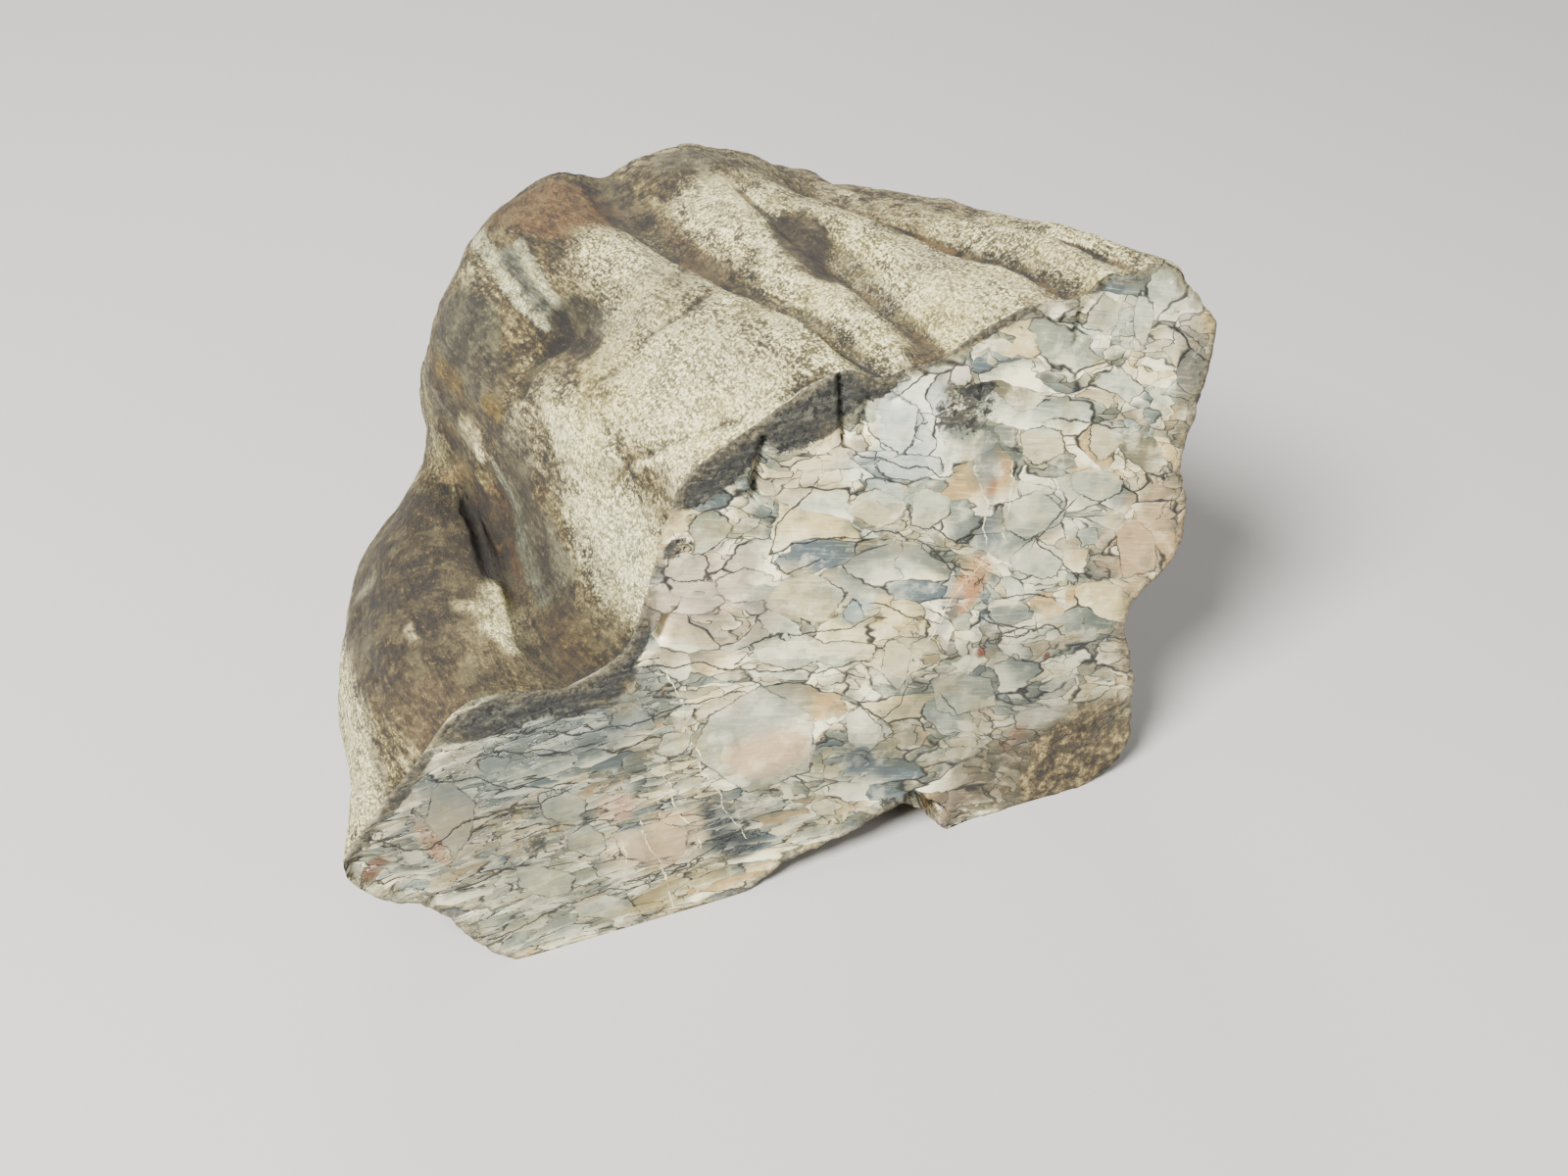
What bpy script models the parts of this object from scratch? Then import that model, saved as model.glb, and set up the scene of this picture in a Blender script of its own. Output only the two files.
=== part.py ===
import math

import bmesh
import bpy
import numpy as np
from mathutils import Vector, noise

# Driving sizes, in millimetres until the last step
width = 118.0          # across the polished cut, left tip to right shoulder
cut_lean = 8.0         # degrees the polished cut leans back
around = 152           # points round each loft row
along = 24             # loft rows from the cut to the broken back end
lump_height = 0.9      # height of the weathered lumps on the rind
facet_height = 2.8     # height of the broken facets on the right side and underside
back_depth = 87.5      # from the foot of the cut to the broken back end
back_swell = 3.2       # how far the middle of the back end stands out
back_step = 2.6        # height of the ledges, and of the one long step, in the broken back end
corner_setback = 1.3   # how far the weathered lower right corner stands back from the cut
rest_level = 0.0       # height of the flat places it rests on, above the foot of the cut
rows_crowding = 1.08   # above 1, the loft rows lie closer together near the cut
cap_middle = (6.0, 0.0, 36.0)                              # x and z that the back end closes on
cap_shares = (0.95, 0.86, 0.74, 0.6, 0.44, 0.27, 0.11)     # sizes of its rings, as shares of its rim
cut_middle = (-1.0, 31.0)                                  # x and z that the cut's inner ring lies about
inner_share = 0.8                                          # size of that ring, as a share of the rim
stone_colour = (0.33, 0.30, 0.25, 1)
lean = math.tan(math.radians(cut_lean))

# Grain lines, clockwise from the base at the left: the first pair is (x, z) on the cut,
# the rest are (x, y, z) further back, y along the grain
grain_lines = {
    "foot_left": [(-40, -0.4), (-40, 20, -0.5), (-36, 40, 0.5), (-30, 62, 1.5), (-24, 82, 5)],
    "chip_low": [(-46.5, 6.5), (-49, 12, 5.5), (-47, 32, 6), (-37, 58, 8), (-28, 82, 11)],
    "chip_step": [(-49.5, 12), (-53, 14, 12), (-51, 32, 12), (-39, 58, 13), (-30, 83, 15)],
    "chip_top": [(-56.5, 17), (-55.5, 14, 18), (-53, 32, 18), (-40, 58, 19), (-31, 84, 20)],
    "tip": [(-58.9, 24), (-56, 12, 26), (-54.6, 32, 27), (-41, 55, 28), (-36, 66, 29), (-32.6, 84, 30)],
    "lobe_side": [(-54.5, 29), (-54.6, 12, 31), (-53.4, 30, 33), (-46, 49, 35), (-38.4, 58, 35),
                  (-32.6, 84, 36)],
    "lobe_shoulder": [(-48.5, 35), (-51.5, 13, 37), (-50.3, 30, 39), (-41.6, 49, 40.5), (-36.6, 59, 39.5),
                      (-32.2, 84, 40)],
    "lobe_crest": [(-42, 41.5), (-44, 15, 43), (-44, 30, 44), (-40, 42, 43.5), (-36.2, 54, 42),
                   (-34.8, 63, 42.5), (-31.6, 83, 43)],
    "lobe_top": [(-36.5, 42.3), (-37, 14, 42.8), (-36, 30, 43.2), (-34.5, 42, 42), (-33.8, 52, 42),
                 (-34.6, 62, 45.5), (-30.6, 82, 46.6)],
    "crease": [(-28.5, 41), (-30.5, 13, 40.8), (-30, 30, 41.2), (-30, 41, 40), (-32, 52, 43),
               (-34.4, 61, 47.8), (-29.6, 81, 50)],
    "crease_bend": [(-22.5, 43.2), (-25.5, 13, 43.2), (-27.3, 30, 43.4), (-28, 41, 45.5), (-31, 50, 47.5),
                    (-33.8, 60, 51), (-28.2, 80, 53)],
    "flank_low": [(-18.2, 50), (-20.6, 13, 50), (-25, 30, 51), (-27.4, 41, 52.5), (-30.2, 50, 53),
                  (-32.6, 61, 55), (-26.2, 80, 56.6)],
    "flank_mid": [(-16, 56), (-17.4, 13, 56.5), (-23, 30, 59), (-25.6, 41, 58.5), (-28.2, 50, 58.5),
                  (-30.6, 62, 60), (-24.2, 79, 60.4)],
    "flank_top": [(-14.2, 60.5), (-14.8, 15, 61.5), (-18.5, 25, 64.5), (-21.8, 34, 64.6),
                  (-22.6, 43, 61.5), (-25.6, 52, 63), (-27.6, 65, 64.4), (-22.2, 79, 63.6)],
    "cheek_low": [(-11.5, 65.5), (-11.6, 16, 67.2), (-13.5, 27, 69), (-15.8, 36, 67.6), (-16, 44, 65),
                  (-20.6, 54, 68), (-24, 67, 68), (-19.6, 79, 66.6)],
    "cheek_mid": [(-3, 70), (-5, 18, 72.4), (-9, 30, 72.2), (-12, 44, 69.6), (-16, 56, 71.4),
                  (-18.6, 69, 71.2), (-15, 79, 69)],
    "cheek_crest": [(5.5, 74), (1, 19, 76), (-3.2, 33, 75), (-7, 45, 73.2), (-10, 57, 73.6),
                    (-12, 69, 73.5), (-9.5, 80, 71)],
    "cheek_back": [(9.2, 74.6), (7, 19, 75.6), (2, 33, 74.6), (-2.5, 46, 72.8), (-6, 58, 72.4),
                   (-7.5, 70, 72.4), (-5, 80, 71)],
    "flute_one": [(12.3, 73), (10, 20, 73), (6.5, 31, 71.8), (2.5, 42, 71.2), (-0.5, 52, 70.8),
                  (-2.6, 64, 71), (-1.5, 80, 70)],
    "ridge_one": [(17, 73.4), (15.4, 20, 75), (12, 32, 74.6), (8.5, 44, 74.8), (5.5, 58, 74.6),
                  (6, 70, 74.6), (6.5, 81, 71.5)],
    "flute_two": [(20.7, 73.7), (19.6, 20, 73.4), (18.4, 31, 73), (16, 43, 74.2), (12.5, 58, 74.6),
                  (11.5, 70, 74.8), (12, 81.5, 72)],
    "ridge_two": [(26, 76.2), (25, 19, 77.2), (24, 31, 76.8), (21, 43, 76.4), (16.5, 58, 75),
                  (16, 70, 73.6), (17.5, 82, 70.5)],
    "ridge_two_b": [(33, 78.2), (31.5, 20, 78.6), (28.6, 32, 76.8), (23.5, 45, 75.6), (19.5, 58, 73.8),
                    (20, 70, 72), (22, 82, 68.5)],
    "flute_three": [(38.5, 77.8), (36.6, 19, 77.8), (31.5, 33, 75.4), (26, 45, 74), (22.6, 58, 72.4),
                    (23.5, 70, 70.5), (25.5, 82, 66.8)],
    "ridge_three": [(43.2, 80.2), (41.6, 20, 80), (37.2, 33, 77.6), (32.5, 46, 75), (29, 59, 72),
                    (28.6, 70, 69.4), (29.5, 82, 65.4)],
    "corner_dip": [(45.8, 79.5), (44, 20, 79.2), (40, 33, 76.6), (36.8, 46, 73.4), (34, 60, 69.6),
                   (33, 72, 66), (34, 82, 62.6)],
    "right_corner": [(49.7, 80.6), (46.4, 20, 80.2), (43.6, 33, 77), (41.4, 46, 73.2), (39.5, 60, 68.6),
                     (38.2, 74, 63.6), (39, 83, 60)],
    "right_brow": [(55, 75.8), (52.4, 20, 75), (50, 35, 71.5), (47, 50, 67), (44.6, 65, 62),
                   (42.5, 83, 55.5)],
    "right_shoulder": [(59, 69.2), (58.4, 20, 67.6), (55.5, 36, 63.5), (51.5, 54, 58.5), (48.5, 69, 54),
                       (45, 83, 49)],
    "right_under": [(57.6, 60.6), (56.8, 20, 60), (54.5, 36, 57), (52, 52, 52), (49.5, 68, 48.5),
                    (46, 84, 44)],
    "right_notch": [(55.8, 52.6), (55.4, 20, 53), (54.5, 34, 50), (53, 52, 46), (50, 68, 43),
                    (47, 84, 39)],
    "right_bulge": [(57.4, 44), (57.6, 18, 43), (57.5, 34, 40), (55, 52, 37), (51, 68, 35),
                    (47.5, 84, 32)],
    "right_bulge_low": [(56, 37.2), (56, 20, 34.5), (55.6, 36, 32), (54, 54, 29), (50, 70, 27),
                        (46.5, 84, 25)],
    "right_waist": [(49.9, 31.2), (51.2, 20, 27), (52.6, 36, 24.5), (51.5, 54, 21), (48, 70, 19.5),
                    (44.5, 84, 18)],
    "right_skirt": [(51.8, 15), (51.5, 20, 14), (50, 36, 13), (49.5, 54, 11), (45, 70, 10.5),
                    (41, 84, 11)],
    "right_foot": [(51.4, 4.4), (49.8, 20, 4), (47.5, 36, 3.5), (45.5, 54, 3), (41, 70, 4),
                   (36, 84, 6.5)],
    "base_right": [(45.6, 0.4), (44, 20, 0.2), (41, 38, 0), (38, 56, -0.6), (34, 70, 0.5), (29, 84, 4)],
    "base_right_mid": [(34, -0.3), (34, 20, -0.6), (33, 40, -0.4), (30, 60, -1), (26, 72, -0.2),
                       (20, 84, 3)],
    "base_contact": [(22.5, -0.2), (23, 18, 0.6), (24, 36, 0.8), (22, 56, -0.8), (18, 72, -0.6),
                     (11, 84, 2.8)],
    "arch_right": [(17, 7), (17, 16, 6), (17, 34, 4), (15, 56, 1.2), (10, 72, 0), (4, 84, 3)],
    "arch_mid": [(6, 5), (6, 18, 5), (6, 36, 3.6), (5, 56, 1.4), (1, 72, 0.4), (-3, 84, 3.4)],
    "arch_left": [(-2, 3.5), (-3, 18, 3), (-4, 36, 2.2), (-5, 56, 0.6), (-7, 72, 0), (-10, 83, 3.2)],
    "base_mid": [(-8.5, 0.4), (-10, 20, 0.2), (-12, 38, -0.4), (-13, 56, -0.8), (-14, 70, 0),
                 (-15, 83, 3.6)],
    "base_left_mid": [(-20, -0.5), (-21, 20, -0.7), (-21, 38, -0.8), (-20, 56, -0.7), (-19, 70, 0.5),
                      (-18, 82, 4)],
    "base_left": [(-31, -0.6), (-31, 20, -0.9), (-29, 38, -0.5), (-25, 58, 0.4), (-22, 72, 2),
                  (-21, 82, 4.4)],
}


def hermite(knots, values, at):
    """Smooth curve through the values at the knots, flat past both ends."""
    slopes = np.gradient(values, knots, axis=0)
    at = np.clip(at, knots[0], knots[-1])
    k = np.clip(np.searchsorted(knots, at, side="right") - 1, 0, len(knots) - 2)
    span = (knots[k + 1] - knots[k])[:, None]
    t = ((at - knots[k])[:, None]) / span
    a, b = values[k], values[k + 1]
    return (
        a * (1 + 2 * t) * (1 - t) ** 2
        + b * t * t * (3 - 2 * t)
        + slopes[k] * span * t * (1 - t) ** 2
        - slopes[k + 1] * span * t * t * (1 - t)
    )


def loft(count_around, row_depths):
    """Points of the rind, rows from the cut to the back, each row clockwise seen from the front."""
    rails = []
    for points in grain_lines.values():
        x, z = points[0]
        rail = np.array([(x, z * lean, z)] + list(points[1:]), float)
        y = rail[0, 1] + (rail[-1, 1] - rail[0, 1]) * row_depths
        curve = hermite(rail[:, 1], rail, y)
        rails.append(np.column_stack([curve[:, 0], y, curve[:, 2]]))
    rails = np.array(rails)
    mean = rails[:, : len(row_depths) // 2].mean(axis=1)
    gap = np.linalg.norm(np.roll(mean, -1, axis=0) - mean, axis=1)
    place = np.concatenate([[0], np.cumsum(gap)])
    length = place[-1]
    knots = np.concatenate([place[-4:-1] - length, place[:-1], place[:4] + length])
    at = np.arange(count_around) * length / count_around
    rows = []
    for r in range(len(row_depths)):
        ring = rails[:, r]
        rows.append(hermite(knots, np.concatenate([ring[-3:], ring, ring[:4]]), at))
    return np.array(rows)


def outward(rows):
    """Outward direction at each loft point."""
    round_way = np.roll(rows, -1, axis=1) - np.roll(rows, 1, axis=1)
    grain_way = np.gradient(rows, axis=0)
    normal = np.cross(round_way, grain_way)
    for again in range(3):
        normal = (np.roll(normal, 1, axis=1) + 2 * normal + np.roll(normal, -1, axis=1)) / 4
        normal[1:-1] = (normal[:-2] + 2 * normal[1:-1] + normal[2:]) / 4
    return normal / np.maximum(np.linalg.norm(normal, axis=2, keepdims=True), 1e-9)


def smooth(low, high, value):
    t = np.clip((value - low) / (high - low), 0, 1)
    return t * t * (3 - 2 * t)


def lumps(point, size_across, size_along, seed):
    """Rounded noise drawn out along the grain, about -1 to 1."""
    x, y, z = point
    return noise.noise(Vector((x / size_across + seed, y / size_along, z / size_across)))


def facets(point, size, seed):
    """Flat broken facets with sharp ridges between them, 0 to 1."""
    x, y, z = point
    near = noise.voronoi(Vector((x / size + seed, y / size, z / size)))[0]
    return near[1] - near[0]


def relief(point, normal):
    """How far the surface stands out from the smooth loft at a point."""
    x, y, z = point
    under = smooth(0.3, 0.8, -normal[2])
    broken = max(smooth(0.25, 0.75, normal[0]) * smooth(20, 32, x), under)
    rind = lumps(point, 9, 26, 3.1) + 0.45 * lumps(point, 4.2, 12, 8.7)
    rough = facets(point, 13, 5.2) - 0.36 - 0.1 * under + 0.3 * lumps(point, 4.5, 4.5, 1.4)
    depth = y - z * lean
    from_cut = smooth(0.5, 7, depth)
    return from_cut * ((1 - broken) * lump_height * rind + broken * facet_height * rough)


def back_cap(rim):
    """Rows closing the broken back end: steps across the grain, then one middle point."""
    rows = []
    for share in cap_shares:
        row = rim * share + np.array(cap_middle) * (1 - share)
        swell = 1 - share**3
        for p, edge in zip(row, rim):
            ledge = back_step * (facets((p[0], 0, p[2] * 0.7), 24, 2.6) - 0.35)
            step = -back_step * float(smooth(-2, 3, p[2] - 43 - 0.3 * p[0]))
            far = back_depth + back_swell * swell + ledge + step
            w = float(smooth(1.0, 0.72, share))
            p[1] = edge[1] * (1 - w) + far * w
        rows.append(row)
    return rows, rows[-1].mean(axis=0)


rows = loft(around, np.linspace(0, 1, along + 1) ** rows_crowding)
normals = outward(rows)
for r in range(rows.shape[0]):
    for c in range(rows.shape[1]):
        rows[r, c] = rows[r, c] + normals[r, c] * relief(rows[r, c], normals[r, c])
cap_rows, cap_tip = back_cap(rows[-1])

# The weathered corner at the lower right of the cut: the rim stands back from the polish
rim = rows[0].copy()
centre = np.array([cut_middle[0], cut_middle[1] * lean, cut_middle[1]])
inner = rim * inner_share + centre * (1 - inner_share)
corner = smooth(18, 27, rim[:, 0]) * smooth(19, 11, rim[:, 2])
rows[0, :, 1] += corner_setback * corner
rows[1, :, 1] += corner_setback / 2 * corner

for name in [o.name for o in bpy.data.objects]:
    bpy.data.objects.remove(bpy.data.objects[name])

bm = bmesh.new()
grid = [[bm.verts.new(p) for p in row] for row in [inner] + list(rows) + cap_rows]
for lower, upper in zip(grid, grid[1:]):
    for c in range(around):
        d = (c + 1) % around
        bm.faces.new([lower[c], upper[c], upper[d], lower[d]])
bm.faces.new(grid[0])
tail = bm.verts.new(cap_tip)
for c in range(around):
    bm.faces.new([grid[-1][c], tail, grid[-1][(c + 1) % around]])
bmesh.ops.triangulate(bm, faces=bm.faces[:])

# Flat places to rest on: whatever hangs below the resting plane is ground level with it
for v in bm.verts:
    v.co.z = max(v.co.z, rest_level)
bmesh.ops.recalc_face_normals(bm, faces=bm.faces[:])

# Millimetres to metres, origin under the middle of the chunk
spots = np.array([v.co[:] for v in bm.verts])
low, high = spots.min(axis=0), spots.max(axis=0)
scale = 0.001 * width / (high[0] - low[0])
shift = Vector(((low[0] + high[0]) / 2, (low[1] + high[1]) / 2, low[2]))
for v in bm.verts:
    v.co = (v.co - shift) * scale

mesh = bpy.data.meshes.new("petrified_wood_chunk")
bm.to_mesh(mesh)
bm.free()
chunk = bpy.data.objects.new("petrified_wood_chunk", mesh)
bpy.context.scene.collection.objects.link(chunk)

stone = bpy.data.materials.new("petrified_stone")
stone.use_nodes = True
surface = stone.node_tree.nodes["Principled BSDF"]
surface.inputs["Base Color"].default_value = stone_colour
surface.inputs["Roughness"].default_value = 0.6
surface.inputs["Metallic"].default_value = 0.0
mesh.materials.append(stone)
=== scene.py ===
import math

import bpy
import numpy as np
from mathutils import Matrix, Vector, geometry, noise


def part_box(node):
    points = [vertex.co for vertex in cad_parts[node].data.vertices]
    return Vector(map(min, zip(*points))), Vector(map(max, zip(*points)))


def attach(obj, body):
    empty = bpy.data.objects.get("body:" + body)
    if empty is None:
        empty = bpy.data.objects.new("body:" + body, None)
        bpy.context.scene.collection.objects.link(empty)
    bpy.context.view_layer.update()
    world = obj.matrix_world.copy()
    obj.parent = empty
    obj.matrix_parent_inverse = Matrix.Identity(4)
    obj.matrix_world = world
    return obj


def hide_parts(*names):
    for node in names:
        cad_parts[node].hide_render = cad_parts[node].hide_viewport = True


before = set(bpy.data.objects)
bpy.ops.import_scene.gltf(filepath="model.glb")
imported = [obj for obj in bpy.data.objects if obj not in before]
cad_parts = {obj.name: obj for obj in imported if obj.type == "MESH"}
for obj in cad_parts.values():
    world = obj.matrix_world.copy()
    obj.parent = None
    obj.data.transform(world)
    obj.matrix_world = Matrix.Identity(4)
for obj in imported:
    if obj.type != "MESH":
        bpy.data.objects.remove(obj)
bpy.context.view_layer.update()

chunkNode = "petrified_wood_chunk"
boxLow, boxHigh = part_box(chunkNode)
print("stage: frame loaded, box", [round(v, 4) for v in list(boxLow) + list(boxHigh)])

# The stone's shape, in millimetres: x along the cut, y back along the grain, z up
stone = {
    "cutLean": 8.0,          # degrees the polished cut leans back
    "across": 600,           # points round each row
    "rows": 108,             # rows from the cut to the broken back end
    "rowSpread": 1.08,       # above 1, rows stand closer together near the cut
    "normalPasses": 8,       # smoothing of the directions in which relief is pushed
    "standingPasses": 60,    # smoothing of the surface that ridges and flutes are measured from
    "gridOnCut": 0.62,       # spacing of the points over the polished cut
    "gridOnBack": 1.15,      # spacing over the broken back end
    "seed": 11,
}
lean = math.tan(math.radians(stone["cutLean"]))

# Grain lines, clockwise from the base at the left: first (x, z) on the cut,
# then (x, y, z) further back
grainLines = {
    "footLeft": [(-40, -0.4), (-40, 20, -0.5), (-36, 40, 0.5), (-30, 62, 1.5), (-24, 82, 5)],
    "chipLow": [(-46.5, 6.5), (-49, 12, 5.5), (-47, 32, 6), (-37, 58, 8), (-28, 82, 11)],
    "chipStep": [(-49.5, 12), (-53, 14, 12), (-51, 32, 12), (-39, 58, 13), (-30, 83, 15)],
    "chipTop": [(-56.5, 17), (-55.5, 14, 18), (-53, 32, 18), (-40, 58, 19), (-31, 84, 20)],
    "tip": [(-58.9, 24), (-56, 12, 26), (-54.6, 32, 27), (-41, 55, 28), (-36, 66, 29), (-32.6, 84, 30)],
    "lobeSide": [(-54.5, 29), (-54.6, 12, 31), (-53.4, 30, 33), (-46, 49, 35), (-38.4, 58, 35),
                 (-32.6, 84, 36)],
    "lobeShoulder": [(-48.5, 35), (-51.5, 13, 37), (-50.3, 30, 39), (-41.6, 49, 40.5), (-36.6, 59, 39.5),
                     (-32.2, 84, 40)],
    "lobeCrest": [(-42, 41.5), (-44, 15, 43), (-44, 30, 44), (-40, 42, 43.5), (-36.2, 54, 42),
                  (-34.8, 63, 42.5), (-31.6, 83, 43)],
    "lobeTop": [(-36.5, 42.3), (-37, 14, 42.8), (-36, 30, 43.2), (-34.5, 42, 42), (-33.8, 52, 42),
                (-34.6, 62, 45.5), (-30.6, 82, 46.6)],
    "crease": [(-28.5, 41), (-30.5, 13, 40.8), (-30, 30, 41.2), (-30, 41, 40), (-32, 52, 43),
               (-34.4, 61, 47.8), (-29.6, 81, 50)],
    "creaseBend": [(-22.5, 43.2), (-25.5, 13, 43.2), (-27.3, 30, 43.4), (-28, 41, 45.5), (-31, 50, 47.5),
                   (-33.8, 60, 51), (-28.2, 80, 53)],
    "flankLow": [(-18.2, 50), (-20.6, 13, 50), (-25, 30, 51), (-27.4, 41, 52.5), (-30.2, 50, 53),
                 (-32.6, 61, 55), (-26.2, 80, 56.6)],
    "flankMid": [(-16, 56), (-17.4, 13, 56.5), (-23, 30, 59), (-25.6, 41, 58.5), (-28.2, 50, 58.5),
                 (-30.6, 62, 60), (-24.2, 79, 60.4)],
    "flankTop": [(-14.2, 60.5), (-14.8, 15, 61.5), (-18.5, 25, 64.5), (-21.8, 34, 64.6), (-22.6, 43, 61.5),
                 (-25.6, 52, 63), (-27.6, 65, 64.4), (-22.2, 79, 63.6)],
    "cheekLow": [(-11.5, 65.5), (-11.6, 16, 67.2), (-13.5, 27, 69), (-15.8, 36, 67.6), (-16, 44, 65),
                 (-20.6, 54, 68), (-24, 67, 68), (-19.6, 79, 66.6)],
    "cheekMid": [(-3, 70), (-5, 18, 72.4), (-9, 30, 72.2), (-12, 44, 69.6), (-16, 56, 71.4),
                 (-18.6, 69, 71.2), (-15, 79, 69)],
    "cheekCrest": [(5.5, 74), (1, 19, 76), (-3.2, 33, 75), (-7, 45, 73.2), (-10, 57, 73.6),
                   (-12, 69, 73.5), (-9.5, 80, 71)],
    "cheekBack": [(9.2, 74.6), (7, 19, 75.6), (2, 33, 74.6), (-2.5, 46, 72.8), (-6, 58, 72.4),
                  (-7.5, 70, 72.4), (-5, 80, 71)],
    "fluteOne": [(12.3, 73), (10, 20, 73), (6.5, 31, 71.8), (2.5, 42, 71.2), (-0.5, 52, 70.8),
                 (-2.6, 64, 71), (-1.5, 80, 70)],
    "ridgeOne": [(17, 73.4), (15.4, 20, 75), (12, 32, 74.6), (8.5, 44, 74.8), (5.5, 58, 74.6),
                 (6, 70, 74.6), (6.5, 81, 71.5)],
    "fluteTwo": [(20.7, 73.7), (19.6, 20, 73.4), (18.4, 31, 73), (16, 43, 74.2), (12.5, 58, 74.6),
                 (11.5, 70, 74.8), (12, 81.5, 72)],
    "ridgeTwo": [(26, 76.2), (25, 19, 77.2), (24, 31, 76.8), (21, 43, 76.4), (16.5, 58, 75),
                 (16, 70, 73.6), (17.5, 82, 70.5)],
    "ridgeTwoB": [(33, 78.2), (31.5, 20, 78.6), (28.6, 32, 76.8), (23.5, 45, 75.6), (19.5, 58, 73.8),
                  (20, 70, 72), (22, 82, 68.5)],
    "fluteThree": [(38.5, 77.8), (36.6, 19, 77.8), (31.5, 33, 75.4), (26, 45, 74), (22.6, 58, 72.4),
                   (23.5, 70, 70.5), (25.5, 82, 66.8)],
    "ridgeThree": [(43.2, 80.2), (41.6, 20, 80), (37.2, 33, 77.6), (32.5, 46, 75), (29, 59, 72),
                   (28.6, 70, 69.4), (29.5, 82, 65.4)],
    "cornerDip": [(45.8, 79.5), (44, 20, 79.2), (40, 33, 76.6), (36.8, 46, 73.4), (34, 60, 69.6),
                  (33, 72, 66), (34, 82, 62.6)],
    "rightCorner": [(49.7, 80.6), (46.4, 20, 80.2), (43.6, 33, 77), (41.4, 46, 73.2), (39.5, 60, 68.6),
                    (38.2, 74, 63.6), (39, 83, 60)],
    "rightBrow": [(55, 75.8), (52.4, 20, 75), (50, 35, 71.5), (47, 50, 67), (44.6, 65, 62),
                  (42.5, 83, 55.5)],
    "rightShoulder": [(59, 69.2), (58.4, 20, 67.6), (55.5, 36, 63.5), (51.5, 54, 58.5), (48.5, 69, 54),
                      (45, 83, 49)],
    "rightUnder": [(57.6, 60.6), (56.8, 20, 60), (54.5, 36, 57), (52, 52, 52), (49.5, 68, 48.5),
                   (46, 84, 44)],
    "rightNotch": [(55.8, 52.6), (55.4, 20, 53), (54.5, 34, 50), (53, 52, 46), (50, 68, 43), (47, 84, 39)],
    "rightBulge": [(57.4, 44), (57.6, 18, 43), (57.5, 34, 40), (55, 52, 37), (51, 68, 35), (47.5, 84, 32)],
    "rightBulgeLow": [(56, 37.2), (56, 20, 34.5), (55.6, 36, 32), (54, 54, 29), (50, 70, 27),
                      (46.5, 84, 25)],
    "rightWaist": [(49.9, 31.2), (51.2, 20, 27), (52.6, 36, 24.5), (51.5, 54, 21), (48, 70, 19.5),
                   (44.5, 84, 18)],
    "rightSkirt": [(51.8, 15), (51.5, 20, 14), (50, 36, 13), (49.5, 54, 11), (45, 70, 10.5), (41, 84, 11)],
    "rightFoot": [(51.4, 4.4), (49.8, 20, 4), (47.5, 36, 3.5), (45.5, 54, 3), (41, 70, 4), (36, 84, 6.5)],
    "baseRight": [(45.6, 0.4), (44, 20, 0.2), (41, 38, 0), (38, 56, -0.6), (34, 70, 0.5), (29, 84, 4)],
    "baseRightMid": [(34, -0.3), (34, 20, -0.6), (33, 40, -0.4), (30, 60, -1), (26, 72, -0.2),
                     (20, 84, 3)],
    "baseContact": [(22.5, -0.2), (23, 18, 0.6), (24, 36, 0.8), (22, 56, -0.8), (18, 72, -0.6),
                    (11, 84, 2.8)],
    "archRight": [(17, 7), (17, 16, 6), (17, 34, 4), (15, 56, 1.2), (10, 72, 0), (4, 84, 3)],
    "archMid": [(6, 5), (6, 18, 5), (6, 36, 3.6), (5, 56, 1.4), (1, 72, 0.4), (-3, 84, 3.4)],
    "archLeft": [(-2, 3.5), (-3, 18, 3), (-4, 36, 2.2), (-5, 56, 0.6), (-7, 72, 0), (-10, 83, 3.2)],
    "baseMid": [(-8.5, 0.4), (-10, 20, 0.2), (-12, 38, -0.4), (-13, 56, -0.8), (-14, 70, 0),
                (-15, 83, 3.6)],
    "baseLeftMid": [(-20, -0.5), (-21, 20, -0.7), (-21, 38, -0.8), (-20, 56, -0.7), (-19, 70, 0.5),
                    (-18, 82, 4)],
    "baseLeft": [(-31, -0.6), (-31, 20, -0.9), (-29, 38, -0.5), (-25, 58, 0.4), (-22, 72, 2),
                 (-21, 82, 4.4)],
}


def hermite(knots, values, at):
    slopes = np.gradient(values, knots, axis=0)
    at = np.clip(at, knots[0], knots[-1])
    k = np.clip(np.searchsorted(knots, at, side="right") - 1, 0, len(knots) - 2)
    span = (knots[k + 1] - knots[k])[:, None]
    t = ((at - knots[k])[:, None]) / span
    return (
        values[k] * (1 + 2 * t) * (1 - t) ** 2
        + values[k + 1] * t * t * (3 - 2 * t)
        + slopes[k] * span * t * (1 - t) ** 2
        - slopes[k + 1] * span * t * t * (1 - t)
    )


def loftRind(count, depths):
    # rows of points from the cut to the back, each clockwise seen from the front
    rails = []
    for points in grainLines.values():
        x, z = points[0]
        rail = np.array([(x, z * lean, z)] + list(points[1:]), float)
        y = rail[0, 1] + (rail[-1, 1] - rail[0, 1]) * depths
        smooth = hermite(rail[:, 1], rail, y)
        rails.append(np.column_stack([smooth[:, 0], y, smooth[:, 2]]))
    rails = np.array(rails)
    mean = rails[:, : len(depths) // 2].mean(axis=1)
    place = np.concatenate([[0], np.cumsum(np.linalg.norm(np.roll(mean, -1, axis=0) - mean, axis=1))])
    length = place[-1]
    knots = np.concatenate([place[-4:-1] - length, place[:-1], place[:4] + length])
    at = np.arange(count) * length / count
    rings = [np.concatenate([ring[-3:], ring, ring[:4]]) for ring in rails.transpose(1, 0, 2)]
    return np.array([hermite(knots, ring, at) for ring in rings]), at, dict(zip(grainLines, place[:-1]))


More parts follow.
